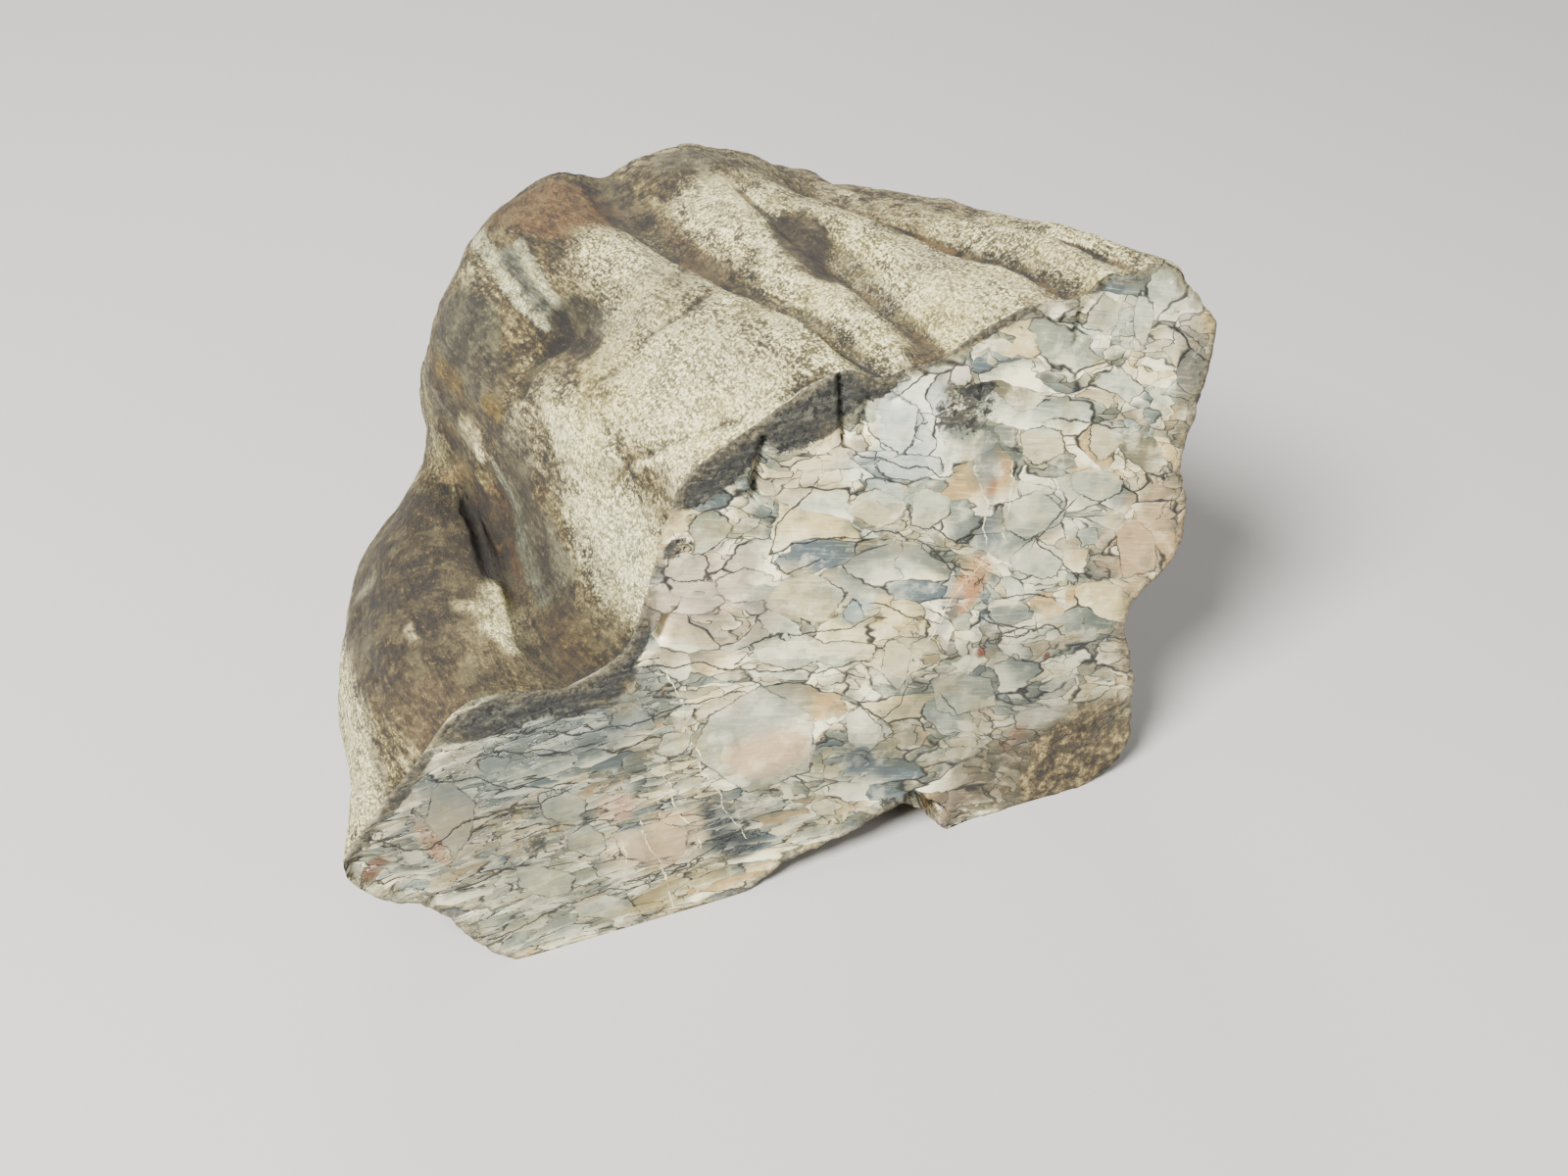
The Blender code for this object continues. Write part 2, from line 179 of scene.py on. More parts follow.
def outward(rows):
    normal = np.cross(np.roll(rows, -1, axis=1) - np.roll(rows, 1, axis=1), np.gradient(rows, axis=0))
    for again in range(stone["normalPasses"]):
        normal = (np.roll(normal, 1, axis=1) + 2 * normal + np.roll(normal, -1, axis=1)) / 4
        normal[1:-1] = (normal[:-2] + 2 * normal[1:-1] + normal[2:]) / 4
    return normal / np.maximum(np.linalg.norm(normal, axis=2, keepdims=True), 1e-9)


def ease(low, high, value):
    t = np.clip((value - low) / (high - low), 0, 1)
    return t * t * (3 - 2 * t)


def lumps(p, size, seed):
    # size across and along the grain
    return noise.noise(Vector((p[0] / size[0] + seed, p[1] / size[1], p[2] / size[0])))


def facets(p, size, seed):
    near = noise.voronoi(Vector((p[0] / size + seed, p[1] / size, p[2] / size)))[0]
    return near[1] - near[0]


def brokenShare(p, normal):
    # 1 where the stone is broken instead of weathered: the right side and underside
    return max(ease(0.25, 0.75, normal[0]) * ease(20, 32, p[0]), ease(0.3, 0.8, -normal[2]))


# Relief of the loft: weathered lumps on the rind, broken facets on the right side and underside
loftRelief = {
    "lumpHeight": 0.9,
    "lumpSize": (9, 26),           # across and along the grain
    "smallLumpSize": (4.2, 12),
    "smallLumps": 0.45,            # their height beside the large ones
    "facetHeight": 2.8,
    "facetSize": 13,
    "facetMiddle": 0.36,           # taken off, so that facets swing about the surface
    "gritSize": (4.5, 4.5),
    "grit": 0.3,
    "fadeIn": (0.5, 7),            # none at the rim of the cut, full from here on
}


def relief(p, normal):
    size = loftRelief
    under = ease(0.3, 0.8, -normal[2])
    broken = brokenShare(p, normal)
    rind = lumps(p, size["lumpSize"], 3.1) + size["smallLumps"] * lumps(p, size["smallLumpSize"], 8.7)
    rough = facets(p, size["facetSize"], 5.2) - size["facetMiddle"] - 0.1 * under
    rough += size["grit"] * lumps(p, size["gritSize"], 1.4)
    fromCut = ease(*size["fadeIn"], p[1] - p[2] * lean)
    return fromCut * ((1 - broken) * size["lumpHeight"] * rind + broken * size["facetHeight"] * rough)


depths = np.linspace(0, 1, stone["rows"] + 1) ** stone["rowSpread"]
rind, aroundAt, lineAt = loftRind(stone["across"], depths)
grain = np.repeat(rind[:1], len(rind), axis=0)       # where each grain line meets the cut
grain[:, :, 1] = rind[:, :, 1] - rind[:1, :, 1]      # and how far back along it
normals = outward(rind)
broken = np.zeros(rind.shape[:2])
for r in range(rind.shape[0]):
    for c in range(rind.shape[1]):
        broken[r, c] = brokenShare(rind[r, c], normals[r, c])
        rind[r, c] = rind[r, c] + normals[r, c] * relief(rind[r, c], normals[r, c])

# Narrow flutes along grain lines: (half width, depth, from and to in mm behind the cut, how dark)
flutes = {
    "crease": (2.6, 1.0, 2, 60, 0.5),
    "creaseBend": (1.6, 0.5, 6, 50, 0.3),
    "cheekBack": (0.9, 0.35, 8, 48, 0.2),
    "fluteOne": (1.6, 0.8, 1, 48, 1.0),
    "fluteTwo": (1.5, 0.8, 1, 60, 0.7),
    "ridgeTwoB": (0.8, 0.3, 1, 40, 0.3),
    "fluteThree": (1.5, 0.9, 1, 60, 1.0),
    "cornerDip": (1.3, 0.7, 1, 70, 0.8),
    "rightNotch": (2.0, 1.0, 3, 80, 0.4),
}
seam = np.zeros(rind.shape[:2])
behind = grain[:, :, 1]
for name, (halfWidth, depth, start, end, dark) in flutes.items():
    drift = 0.8 * np.sin(behind / 9 + lineAt[name])
    off = np.abs(aroundAt[None, :] - lineAt[name] + drift) / halfWidth
    inLength = ease(start, start + 5, behind) * ease(end, end - 14, behind)
    rind -= normals * (depth * ease(1, 0, off) * inLength)[:, :, None]
    seam = np.maximum(seam, dark * ease(0.75, 0.1, off) * ease(end, end - 14, behind))

# Narrow marks on the rind: (points, half width, colour, strength, crust added or taken, depth)
rindMarks = {
    "streakOne": ([(-22.5, 70.8, 67.9), (-21.1, 57.2, 68.1), (-18.5, 49.0, 65.6)], 1.3, "#dde4e1", 0.95,
                  0.4, 0),
    "streakTwo": ([(-18.4, 61.4, 71.0), (-17.2, 51.1, 68.4), (-16.5, 48.3, 66.8)], 0.8, "#d3dad8", 0.9,
                  0.3, 0),
    "streakGrey": ([(-20.6, 61.7, 69.4), (-18.4, 50.7, 67.0)], 1.1, "#737d83", 0.9, -0.6, 0.2),
    "foldDark": ([(-16.7, 47.9, 66.4), (-16.6, 46.0, 65.4), (-17.7, 45.3, 64.2)], 1.7, "#35312b", 1.0,
                 -0.9, 0.9),
    "hollowFloor": ([(-15.7, 43.3, 65.7), (-15.6, 37.2, 67.4)], 2.0, "#4b4239", 0.9, -0.8, 0.5),
    "foldEdge": ([(-16.9, 45.2, 64.7), (-19.7, 45.1, 63.1), (-22.5, 42.9, 61.6), (-24.0, 41.0, 60.4)], 0.8,
                 "#413d35", 0.9, -0.6, 0.5),
    "creaseLine": ([(-31.2, 48.5, 43.1), (-32.8, 44.6, 41.2), (-32.7, 37.5, 41.3), (-33.0, 28.8, 42.1)],
                   1.0, "#2b2520", 0.95, -0.8, 0.7),
    "creaseRust": ([(-30.9, 46.3, 41.4), (-29.9, 41.2, 40.6), (-29.6, 32.8, 41.1), (-29.0, 28.3, 41.4)],
                   1.0, "#97744e", 0.85, -0.3, 0),
    "blueStreak": ([(-28.5, 43.5, 48.4), (-27.6, 39.1, 45.9), (-28.0, 33.6, 42.9), (-28.1, 27.9, 42.2),
                    (-27.7, 21.1, 42.2)], 1.1, "#b4bbbd", 0.9, 0.3, 0),
    "flankFoot": ([(-26.7, 36.6, 51.2), (-26.2, 30.5, 47.9), (-26.1, 26.5, 45.0)], 2.2, "#5d564c", 0.85,
                  -0.6, 0),
    "amberOne": ([(-32.0, 59.0, 55.8), (-30.4, 53.7, 55.4)], 1.6, "#8d7a35", 0.9, -0.2, 0),
    "amberTwo": ([(-28.0, 45.9, 57.0), (-27.2, 43.1, 56.7)], 1.2, "#94813e", 0.9, -0.2, 0),
    "amberThree": ([(-33.0, 57.0, 47.8), (-32.1, 54.3, 48.0)], 1.4, "#7d6c3c", 0.8, -0.2, 0),
    "whiteLump": ([(-30.5, 51.5, 50.8), (-29.6, 48.4, 50.7), (-29.7, 47.0, 47.8)], 1.2, "#e0dac9", 1.0,
                  0.7, -0.5),
    "tanLump": ([(-34.1, 51.2, 42.1), (-32.2, 51.5, 43.1)], 1.3, "#b7a085", 0.9, 0.2, -0.4),
    "lobePale": ([(-49.1, 34.6, 39.3), (-48.0, 34.1, 40.6)], 1.4, "#c6c8c4", 0.8, 0.5, 0),
    "lobeFold": ([(-50.6, 30.3, 38.4), (-47.8, 28.7, 41.6), (-44.7, 27.5, 43.6), (-41.4, 26.8, 44.0)], 0.9,
                 "#4c4237", 0.6, -0.3, 0.35),
    "crustOne": ([(-38.2, 22.4, 43.3), (-35.7, 21.1, 42.9)], 1.0, "#eee8d3", 1.0, 0.9, -0.3),
    "crustTwo": ([(-32.5, 24.7, 41.8), (-32.0, 21.0, 41.6), (-33.5, 18.0, 42.0)], 1.7, "#f2ead0", 1.0, 1.0,
                 -0.4),
    "crustThree": ([(-35.8, 17.8, 42.7), (-34.6, 15.3, 42.0), (-33.5, 13.8, 41.5)], 1.0, "#e9e2cd", 0.9,
                   0.8, -0.2),
    "lobeSpecks": ([(-45.0, 20.4, 43.4), (-44.6, 18.2, 43.1)], 0.5, "#efe9dc", 1.0, 0.9, 0),
    "darkPatch": ([(14.4, 46.4, 74.9), (14.1, 37.6, 74.8), (14.8, 33.1, 74.4)], 2.0, "#5a5045", 1.0, -1.2,
                  0.3),
    "cheekCrack": ([(-1.1, 32.0, 75.3), (-4.8, 29.2, 74.9), (-10.2, 30.3, 71.6), (-13.9, 28.9, 69.0),
                    (-17.1, 29.1, 67.2)], 0.45, "#4a453c", 0.75, -0.5, 0.3),
    "lipLine": ([(-16.0, 18.5, 63.0), (-10.9, 14.0, 67.1), (-4.6, 11.6, 70.0), (1.3, 11.2, 72.7),
                 (7.2, 11.0, 74.7)], 0.45, "#5b5447", 0.7, -0.4, 0.3),
    "lipEdge": ([(-16.3, 17.3, 62.5), (-11.2, 12.8, 66.8), (-4.9, 10.4, 69.8), (1.0, 10.0, 72.5),
                 (7.0, 9.8, 74.5)], 0.5, "#f4efdc", 0.8, 0.7, -0.2),
}


def farFromLine(p, line):
    # distance of every point to a line of points
    best = np.full(p.shape[:-1], 1e9)
    for a, b in zip(np.array(line[:-1]), np.array(line[1:])):
        along = np.clip(((p - a) @ (b - a)) / ((b - a) @ (b - a)), 0, 1)
        best = np.minimum(best, np.linalg.norm(p - a - along[..., None] * (b - a), axis=-1))
    return best


for line, halfWidth, colour, strength, crustChange, depth in rindMarks.values():
    if depth:
        rind -= normals * (depth * ease(1.3 * halfWidth + 0.5, 0.2, farFromLine(rind, line)))[:, :, None]

# The weathered corner of the cut and the chip at its left tip
cutCorner = {
    "setBack": 1.3,
    "setBackBehind": (1.1, 0.5),                 # of the rows behind the rim, from first to last
    "scarSize": 7,
    "scarDepth": 0.9,
    "chipLine": (-57.5, 22.0, -52.5, 17.6),      # x, z, x, z
    "chipWidth": 3.6,
    "chipDepth": 1.2,
}
corner = ease(18, 27, rind[0, :, 0]) * ease(19, 11, rind[0, :, 2])
rind[0, :, 1] += cutCorner["setBack"] * corner
rind[1:5, :, 1] += np.linspace(*cutCorner["setBackBehind"], 4)[:, None] * corner
print("stage: rind lofted", rind.shape)

# Small chips along the rim of the cut, larger along its base and right side than on top
rimChips = {
    "size": 2.1,
    "smallSize": 0.9,
    "smallShare": 0.6,
    "least": 0.18,
    "more": 0.42,                # added at the base, and in part on the right side
    "rows": (1, 0.7, 0.35),      # share of it on the rim and on the rows behind
}
rimAcross = np.roll(rind[0], -1, axis=0) - np.roll(rind[0], 1, axis=0)
rimOut = np.column_stack([-rimAcross[:, 2], rimAcross[:, 0]])
rimOut /= np.linalg.norm(rimOut, axis=1, keepdims=True)
chips = 0
for size, level, share in ((rimChips["size"], 4.4, 1),
                           (rimChips["smallSize"], 7.7, rimChips["smallShare"])):
    chips += share * np.array([noise.noise(Vector((p[0] / size, level, p[2] / size))) for p in rind[0]])
chipPlace = np.maximum(ease(0.1, 0.7, -rimOut[:, 1]), 0.6 * ease(0.3, 0.9, rimOut[:, 0]))
chipSize = rimChips["least"] + rimChips["more"] * chipPlace
for row, share in enumerate(rimChips["rows"]):
    rind[row, :, 0] += share * chipSize * chips * rimOut[:, 0]
    rind[row, :, 2] += share * chipSize * chips * rimOut[:, 1]

# How far each point stands above its surroundings: ridges above 0, flutes and creases below
wide = rind.copy()
for again in range(stone["standingPasses"]):
    wide = (np.roll(wide, 1, axis=1) + np.roll(wide, -1, axis=1)) / 2
standing = ((rind - wide) * normals).sum(axis=2)


def isInside(p, rim, ends):
    crosses = (rim[:, 1] > p[1]) != (ends[:, 1] > p[1])
    slope = (ends[:, 0] - rim[:, 0]) / np.where(crosses, ends[:, 1] - rim[:, 1], 1)
    return (crosses & (p[0] < rim[:, 0] + slope * (p[1] - rim[:, 1]))).sum() % 2 == 1


def fillInside(rim, spacing, seed):
    # an even, slightly irregular net of triangles inside a closed rim, in x and z
    rng = np.random.default_rng(seed)
    low, high = rim.min(axis=0), rim.max(axis=0)
    xs = np.arange(low[0], high[0], spacing)
    zs = np.arange(low[1], high[1], spacing * 0.866)
    grid = np.array([(x + (i % 2) * spacing / 2, z) for i, z in enumerate(zs) for x in xs])
    grid += rng.uniform(-0.18, 0.18, grid.shape) * spacing
    ends = np.roll(rim, -1, axis=0)
    clear = (0.6 * spacing) ** 2
    keep = [p for p in grid if isInside(p, rim, ends) and np.min(((rim - p) ** 2).sum(axis=1)) > clear]
    flat = [Vector(p) for p in rim] + [Vector(p) for p in keep]
    edges = [(i, (i + 1) % len(rim)) for i in range(len(rim))]
    verts, _, triangles, cameFrom = geometry.delaunay_2d_cdt(flat, edges, [], 0, 1e-6, True)[:4]
    verts = np.array([v[:] for v in verts])
    inside = [t for t in triangles if isInside(verts[t].mean(axis=0), rim, ends)]
    return verts, inside, cameFrom


# Real hollows in the polished cut, as (x, z, x, z, half width, depth) along a line
cutHollows = {
    "crestCrack": (8.0, 74.5, 8.3, 65.5, 0.55, 1.5),
    "crestCrackTwo": (11.4, 70.5, 10.6, 66.0, 0.5, 1.1),
    "crestHole": (14.6, 69.6, 15.8, 70.0, 0.5, 0.8),
    "slantCrack": (-1.8, 68.0, -3.6, 60.5, 0.6, 1.5),
    "slantCrackTwo": (-4.0, 61.5, -2.2, 58.5, 0.5, 1.0),
    "twigCrack": (-13.4, 66.4, -12.6, 63.8, 0.35, 0.8),
    "waistHole": (-15.6, 47.2, -16.6, 44.6, 0.75, 2.0),
    "rimSlot": (39.4, 76.0, 39.0, 72.0, 0.5, 1.2),
    "footCavity": (16.6, 8.2, 21.5, 3.0, 1.3, 3.2),
    "specksOne": (22.0, 69.0, 26.5, 68.6, 0.7, 0.5),
    "chipPit": (-50.0, 13.6, -49.0, 14.4, 0.6, 0.6),
}


def nearLine(x, z, line):
    ax, az, bx, bz = line[:4]
    length = (bx - ax) ** 2 + (bz - az) ** 2
    along = np.clip(((x - ax) * (bx - ax) + (z - az) * (bz - az)) / length, 0, 1)
    return np.hypot(x - ax - along * (bx - ax), z - az - along * (bz - az))


def cutSurface(x, z):
    # y of the polished cut, with its hollows, its chip and its rough weathered corner
    y = z * lean
    for line in cutHollows.values():
        wobble = 0.25 * line[4] * np.sin(2.1 * z + 1.7 * x)
        y = y + line[5] * ease(line[4] + wobble, 0.15 * line[4], nearLine(x, z, line))
    cornerIn = ease(14, 27, x) * ease(23, 8, z)
    scars = np.array([facets((a, 0, b), cutCorner["scarSize"], 3.3) for a, b in zip(x, z)]) - 0.3
    y = y + cornerIn * (cutCorner["setBack"] * ease(0, 1, cornerIn) + cutCorner["scarDepth"] * scars)
    chip = ease(cutCorner["chipWidth"], 0.4, nearLine(x, z, cutCorner["chipLine"]))
    return y + cutCorner["chipDepth"] * chip


cutFlat, cutFaces, cutFrom = fillInside(rind[0][:, [0, 2]], stone["gridOnCut"], stone["seed"])
backFlat, backFaces, backFrom = fillInside(rind[-1][:, [0, 2]], stone["gridOnBack"], stone["seed"] + 1)
print("stage: cut filled", len(cutFlat), "back filled", len(backFlat))

across, rowCount = stone["across"], len(rind)
points = [rind.reshape(-1, 3)]
grainPlace = [grain.reshape(-1, 3)]
brokenAt = [broken.reshape(-1)]
standingAt = [standing.reshape(-1)]
seamAt = [seam.reshape(-1)]
faces, zone = [], []
for r in range(rowCount - 1):
    for c in range(across):
        d = (c + 1) % across
        a = r * across
        faces.append((a + c, a + d, a + across + d, a + across + c))
        zone.append(0)


def addCap(flat, capFaces, cameFrom, ringStart, depthAt, zoneNumber, flip):
    start = sum(len(p) for p in points)
    index = {}
    extra = []
    for i, sources in enumerate(cameFrom):
        rimSources = [s for s in sources if s < across]
        if rimSources:
            index[i] = ringStart + rimSources[0]
        else:
            index[i] = start + len(extra)
            extra.append(flat[i])
    extra = np.array(extra)
    y = depthAt(extra)
    points.append(np.column_stack([extra[:, 0], y, extra[:, 1]]))
    grainPlace.append(np.column_stack([extra[:, 0], y * 0 + (0 if zoneNumber else 90), extra[:, 1]]))
    brokenAt.append(np.full(len(extra), 1.0))
    standingAt.append(np.zeros(len(extra)))
    seamAt.append(np.zeros(len(extra)))
    for face in capFaces:
        corners = [index[i] for i in face]
        faces.append(tuple(reversed(corners)) if flip else tuple(corners))
        zone.append(zoneNumber)


def cutDepth(flat):
    return cutSurface(flat[:, 0], flat[:, 1])


# The broken back end: ledges and one step across it, on a slight bulge
backEnd = {
    "middle": (6.0, 36.0),       # x, z
    "far": 87.5,
    "bulge": 3.2,
    "ledgeSize": 24,
    "ledgeHeight": 2.6,
    "stepHeight": 2.6,
    "gritSize": (3.2, 3.2),
    "grit": 0.35,
}


def backDepth(flat):
    # y of the back end, easing into its rim
    rim = rind[-1]
    middle = backEnd["middle"]
    rimAngle = np.arctan2(rim[:, 2] - middle[1], rim[:, 0] - middle[0])
    order = np.argsort(rimAngle)
    radius = np.hypot(rim[:, 0] - middle[0], rim[:, 2] - middle[1])[order]
    angle = np.arctan2(flat[:, 1] - middle[1], flat[:, 0] - middle[0])
    full = np.interp(angle, rimAngle[order], radius, period=2 * math.pi)
    rimY = np.interp(angle, rimAngle[order], rim[:, 1][order], period=2 * math.pi)
    share = np.clip(np.hypot(flat[:, 0] - middle[0], flat[:, 1] - middle[1]) / full, 0, 1)
    ledge = np.array([facets((p[0], 0, p[1] * 0.7), backEnd["ledgeSize"], 2.6) for p in flat]) - 0.35
    rough = np.array([lumps((p[0], 0, p[1]), backEnd["gritSize"], 6.4) for p in flat])
    step = -backEnd["stepHeight"] * ease(-2, 3, flat[:, 1] - 43 - 0.3 * flat[:, 0])
    far = backEnd["far"] + backEnd["bulge"] * (1 - share**3) + backEnd["ledgeHeight"] * ledge
    far += step + backEnd["grit"] * rough
    blend = ease(1.0, 0.72, share)
    return rimY * (1 - blend) + far * blend


addCap(cutFlat, cutFaces, cutFrom, 0, cutDepth, 1, False)
addCap(backFlat, backFaces, backFrom, (rowCount - 1) * across, backDepth, 0, True)
points = np.concatenate(points)
points[:, 2] = np.maximum(points[:, 2], 0)
grainPlace = np.concatenate(grainPlace)
brokenAt = np.concatenate(brokenAt)
standingAt = np.concatenate(standingAt)
seamAt = np.concatenate(seamAt)
low, high = points.min(axis=0), points.max(axis=0)
scale = (boxHigh.x - boxLow.x) / (high[0] - low[0])
shift = np.array([(low[0] + high[0]) / 2, 0, 0])
place = (points - shift) * scale
place[:, 1] += boxLow.y - place[:, 1].min()
print("stage: stone mesh", len(points), "points", len(faces), "faces")

# Coloured places on the polished cut: (x, z, half width, half height, turn, colour, strength)
cutTints = {
    "beigeCell": (-46, 26, 4.5, 6.5, 25, "#bbb0a3", 0.75),
    "beigeEdge": (-48.2, 22.5, 1.1, 4.0, 20, "#c7a587", 0.8),
    "chipBrown": (-55.5, 20.6, 2.6, 1.2, 40, "#865d48", 0.95),
    "blueSlivers": (-36, 33, 13, 6, 15, "#8f9799", 0.7),
    "blueSliversTwo": (-22, 36, 8, 5, 20, "#8b9399", 0.7),
    "peachOne": (-25, 20.5, 2.8, 2.6, 0, "#d9bba6", 0.85),
    "peachTwo": (-18, 13, 4.5, 5.0, 0, "#dcc7af", 0.8),
    "peachThree": (-24.5, 13, 3.2, 3.4, 0, "#decab5", 0.75),
    "ovalPeach": (-4, 23, 6.2, 4.0, -10, "#d7c2ae", 0.85),
    "ovalGrey": (-5.5, 30, 7.5, 4.2, -8, "#bfbfb9", 0.75),
    "pinkFlush": (-11, 50, 8, 4.5, 20, "#d3c5bc", 0.8),
    "waistBrown": (-8, 43, 10, 3.2, 12, "#b8aea2", 0.7),
    "creamWindow": (4, 63, 6.5, 3.8, 10, "#e6d9c4", 0.75),
    "whiteWindow": (17, 67, 5.0, 5.5, 0, "#e1e3e4", 0.85),
    "blueWindow": (15, 61, 7.5, 3.0, -8, "#c5cbcf", 0.75),
    "blueCell": (9.2, 41.4, 2.3, 1.8, 10, "#9faeba", 0.9),
    "greyWindow": (13, 47, 8.0, 3.8, 12, "#c9cbc6", 0.7),
    "creamBand": (14, 33, 9.0, 3.0, 15, "#d5cebd", 0.7),
    "orangeVein": (25, 41, 2.4, 5.0, -28, "#c7a586", 0.9),
    "rustSpot": (28, 54.5, 0.7, 2.0, -10, "#ac7f5d", 0.7),
    "redOne": (27, 30, 0.6, 0.9, 30, "#95513a", 0.95),
    "redTwo": (37, 26.6, 0.6, 0.8, 0, "#954f38", 0.95),
    "inkVein": (-11, 12.8, 2.3, 6.2, 16, "#39424f", 0.95),
    "inkFoot": (-8.5, 8.5, 3.2, 2.2, 0, "#4a525d", 0.9),
    "darkBlue": (9, 17.5, 2.0, 2.6, -10, "#68727d", 0.75),
    "slateOne": (27, 58, 1.8, 3.0, 10, "#9a9fa3", 0.7),
    "slateTwo": (27.5, 49.5, 1.6, 4.6, 4, "#8d9399", 0.7),
    "slateVein": (22, 37, 1.2, 4.2, -30, "#788087", 0.6),
    "roundCell": (35, 52.5, 5.4, 4.4, 15, "#c9c8be", 0.75),
    "roundCellTwo": (34, 41, 5.0, 4.2, 0, "#cecdc4", 0.75),
    "roundCellThree": (42, 49, 4.4, 5.4, -20, "#bbbdb5", 0.7),
    "tanRim": (51.5, 43, 6.0, 8.5, -10, "#c3b097", 0.8),
    "tanRimLow": (52, 27, 5.0, 9.0, 0, "#b7a88f", 0.7),
    "tanPeach": (47, 41, 4.5, 4.0, 40, "#cbb6a0", 0.7),
    "topRight": (50, 73, 7.0, 5.0, -25, "#cdccc7", 0.6),
    "greyRim": (56.5, 63, 2.6, 8.0, 8, "#969087", 0.85),
    "slateBand": (34, 46.8, 7.0, 1.5, 6, "#979a99", 0.55),
    "tealShadow": (31, 34.8, 5.0, 1.4, -10, "#8b9496", 0.6),
    "cornerTan": (37, 7, 14.5, 7.5, -4, "#877a66", 0.9),
    "cornerTanLow": (24, 5, 5.0, 4.5, 0, "#91826f", 0.85),
    "cornerRust": (33, 14.5, 1.4, 4.0, -25, "#a88365", 0.75),
    "palePebble": (36.5, 17.5, 4.4, 2.2, 15, "#cdc9bf", 0.8),
    "lavender": (47, 14, 3.4, 3.4, 0, "#b0acaa", 0.5),
    "footGreen": (-38, 9, 10, 6, 18, "#b3b3a6", 0.6),
    "footYellow": (-18, 4.5, 8, 3.0, 12, "#c7b78f", 0.7),
    "tipBlue": (-53, 15.5, 3.4, 1.4, 12, "#b4babd", 0.75),
    "topPink": (23, 71.5, 2.0, 1.6, 0, "#e2d8d3", 0.8),
}

# Large smooth pieces of the cut, each with a dark outline: its centre (x, z), then the way
# from there to its right end and to its top
smoothPieces = {
    "tanCell": (-45.1, 26.1, 3.1, -1.1, 0.9, 5.3),
    "greyWhite": (-31.8, 23.2, 3.1, -1.0, 0.3, 2.6),
    "peachCell": (-20.4, 13.3, 4.9, -1.7, 0.4, 3.9),
    "greyCell": (-21.1, 33.2, 3.0, -0.9, 0.2, 1.9),
    "whiteChip": (-39.4, 32.2, 1.9, -0.6, 0.2, 1.6),
    "paleChip": (-16.4, 28.1, 2.4, -0.8, 0.2, 2.1),
    "middleLeft": (0.6, 37.8, 5.1, -1.4, 0.1, 2.7),
    "bigOval": (-4.9, 24.8, 9.0, -2.8, 0.4, 7.1),
    "roundTop": (34.6, 59.0, 3.5, -0.8, -0.1, 2.7),
    "roundTopTwo": (43.9, 58.1, 2.9, -0.6, -0.2, 2.8),
    "roundBig": (34.2, 49.4, 5.2, -1.3, -0.2, 3.5),
    "roundLow": (34.6, 42.4, 4.1, -1.1, -0.1, 3.1),
    "pinkChip": (23.5, 71.0, 1.8, -0.4, 0.0, 1.6),
    "whiteWindow": (14.5, 66.8, 3.6, -0.8, 0.0, 3.8),
    "creamWindow": (12.3, 55.4, 4.0, -1.0, 0.0, 2.4),
    "creamTwo": (19.4, 53.6, 2.8, -0.8, 0.0, 3.1),
    "blueWindow": (16.6, 60.2, 5.6, -1.3, 0.0, 1.7),
    "rightCell": (43.5, 51.4, 3.8, -0.9, -0.2, 2.9),
    "topCell": (42.8, 75.0, 2.5, -0.5, -0.2, 2.6),
    "topStrip": (48.1, 73.4, 1.5, -0.3, -0.4, 4.2),
    "middleBig": (2.8, 44.9, 5.6, -1.6, 0.2, 3.4),
    "blueCell": (9.0, 41.0, 1.5, -0.4, 0.0, 1.8),
    "greenCell": (31.1, 35.4, 3.8, -1.0, -0.1, 2.2),
    "middleLow": (7.2, 35.4, 5.0, -1.5, 0.1, 2.4),
    "palePebble": (36.4, 15.6, 4.3, -1.3, -0.1, 2.4),
    "creamTall": (14.4, 31.6, 2.3, -0.7, 0.1, 4.4),
    "waistCell": (-5.5, 49.0, 4.3, -1.1, 0.2, 2.8),
    "pinkCell": (-12.6, 53.6, 3.2, -1.0, 0.2, 2.2),
    "centreCell": (24.7, 23.5, 4.5, -1.3, -0.1, 3.6),
    "lowCell": (9.5, 22.4, 2.8, -1.0, 0.1, 3.8),
    "rimCell": (50.0, 40.3, 3.7, -0.9, -0.4, 5.2),
    "footCell": (-35.0, 11.6, 4.5, -1.7, 0.3, 2.6),
    "footCellTwo": (-28.0, 4.7, 4.5, -1.4, 0.2, 2.0),
    "sideCell": (-29.2, 16.6, 2.8, -1.0, 0.3, 2.3),
}

# Places on the polished cut with painted shade where the light falls off, over the lobe and the low parts
# of the cut, and with more crushed pieces: (x, z, half width, half height, turn, strength)
cutShade = {
    "lobe": (-36, 24, 21, 13, 14, 0.42),
    "lobeTop": (-30, 34, 17, 5, 14, 0.40),
    "foot": (-24, 8, 24, 7, 12, 0.34),
    "middle": (2, 15, 16, 7, 8, 0.34),
    "right": (30, 22, 20, 12, 0, 0.36),
    "rightSide": (42, 40, 9, 10, 0, 0.14),
    "corner": (37, 9, 13, 8, 0, 0.40),
}

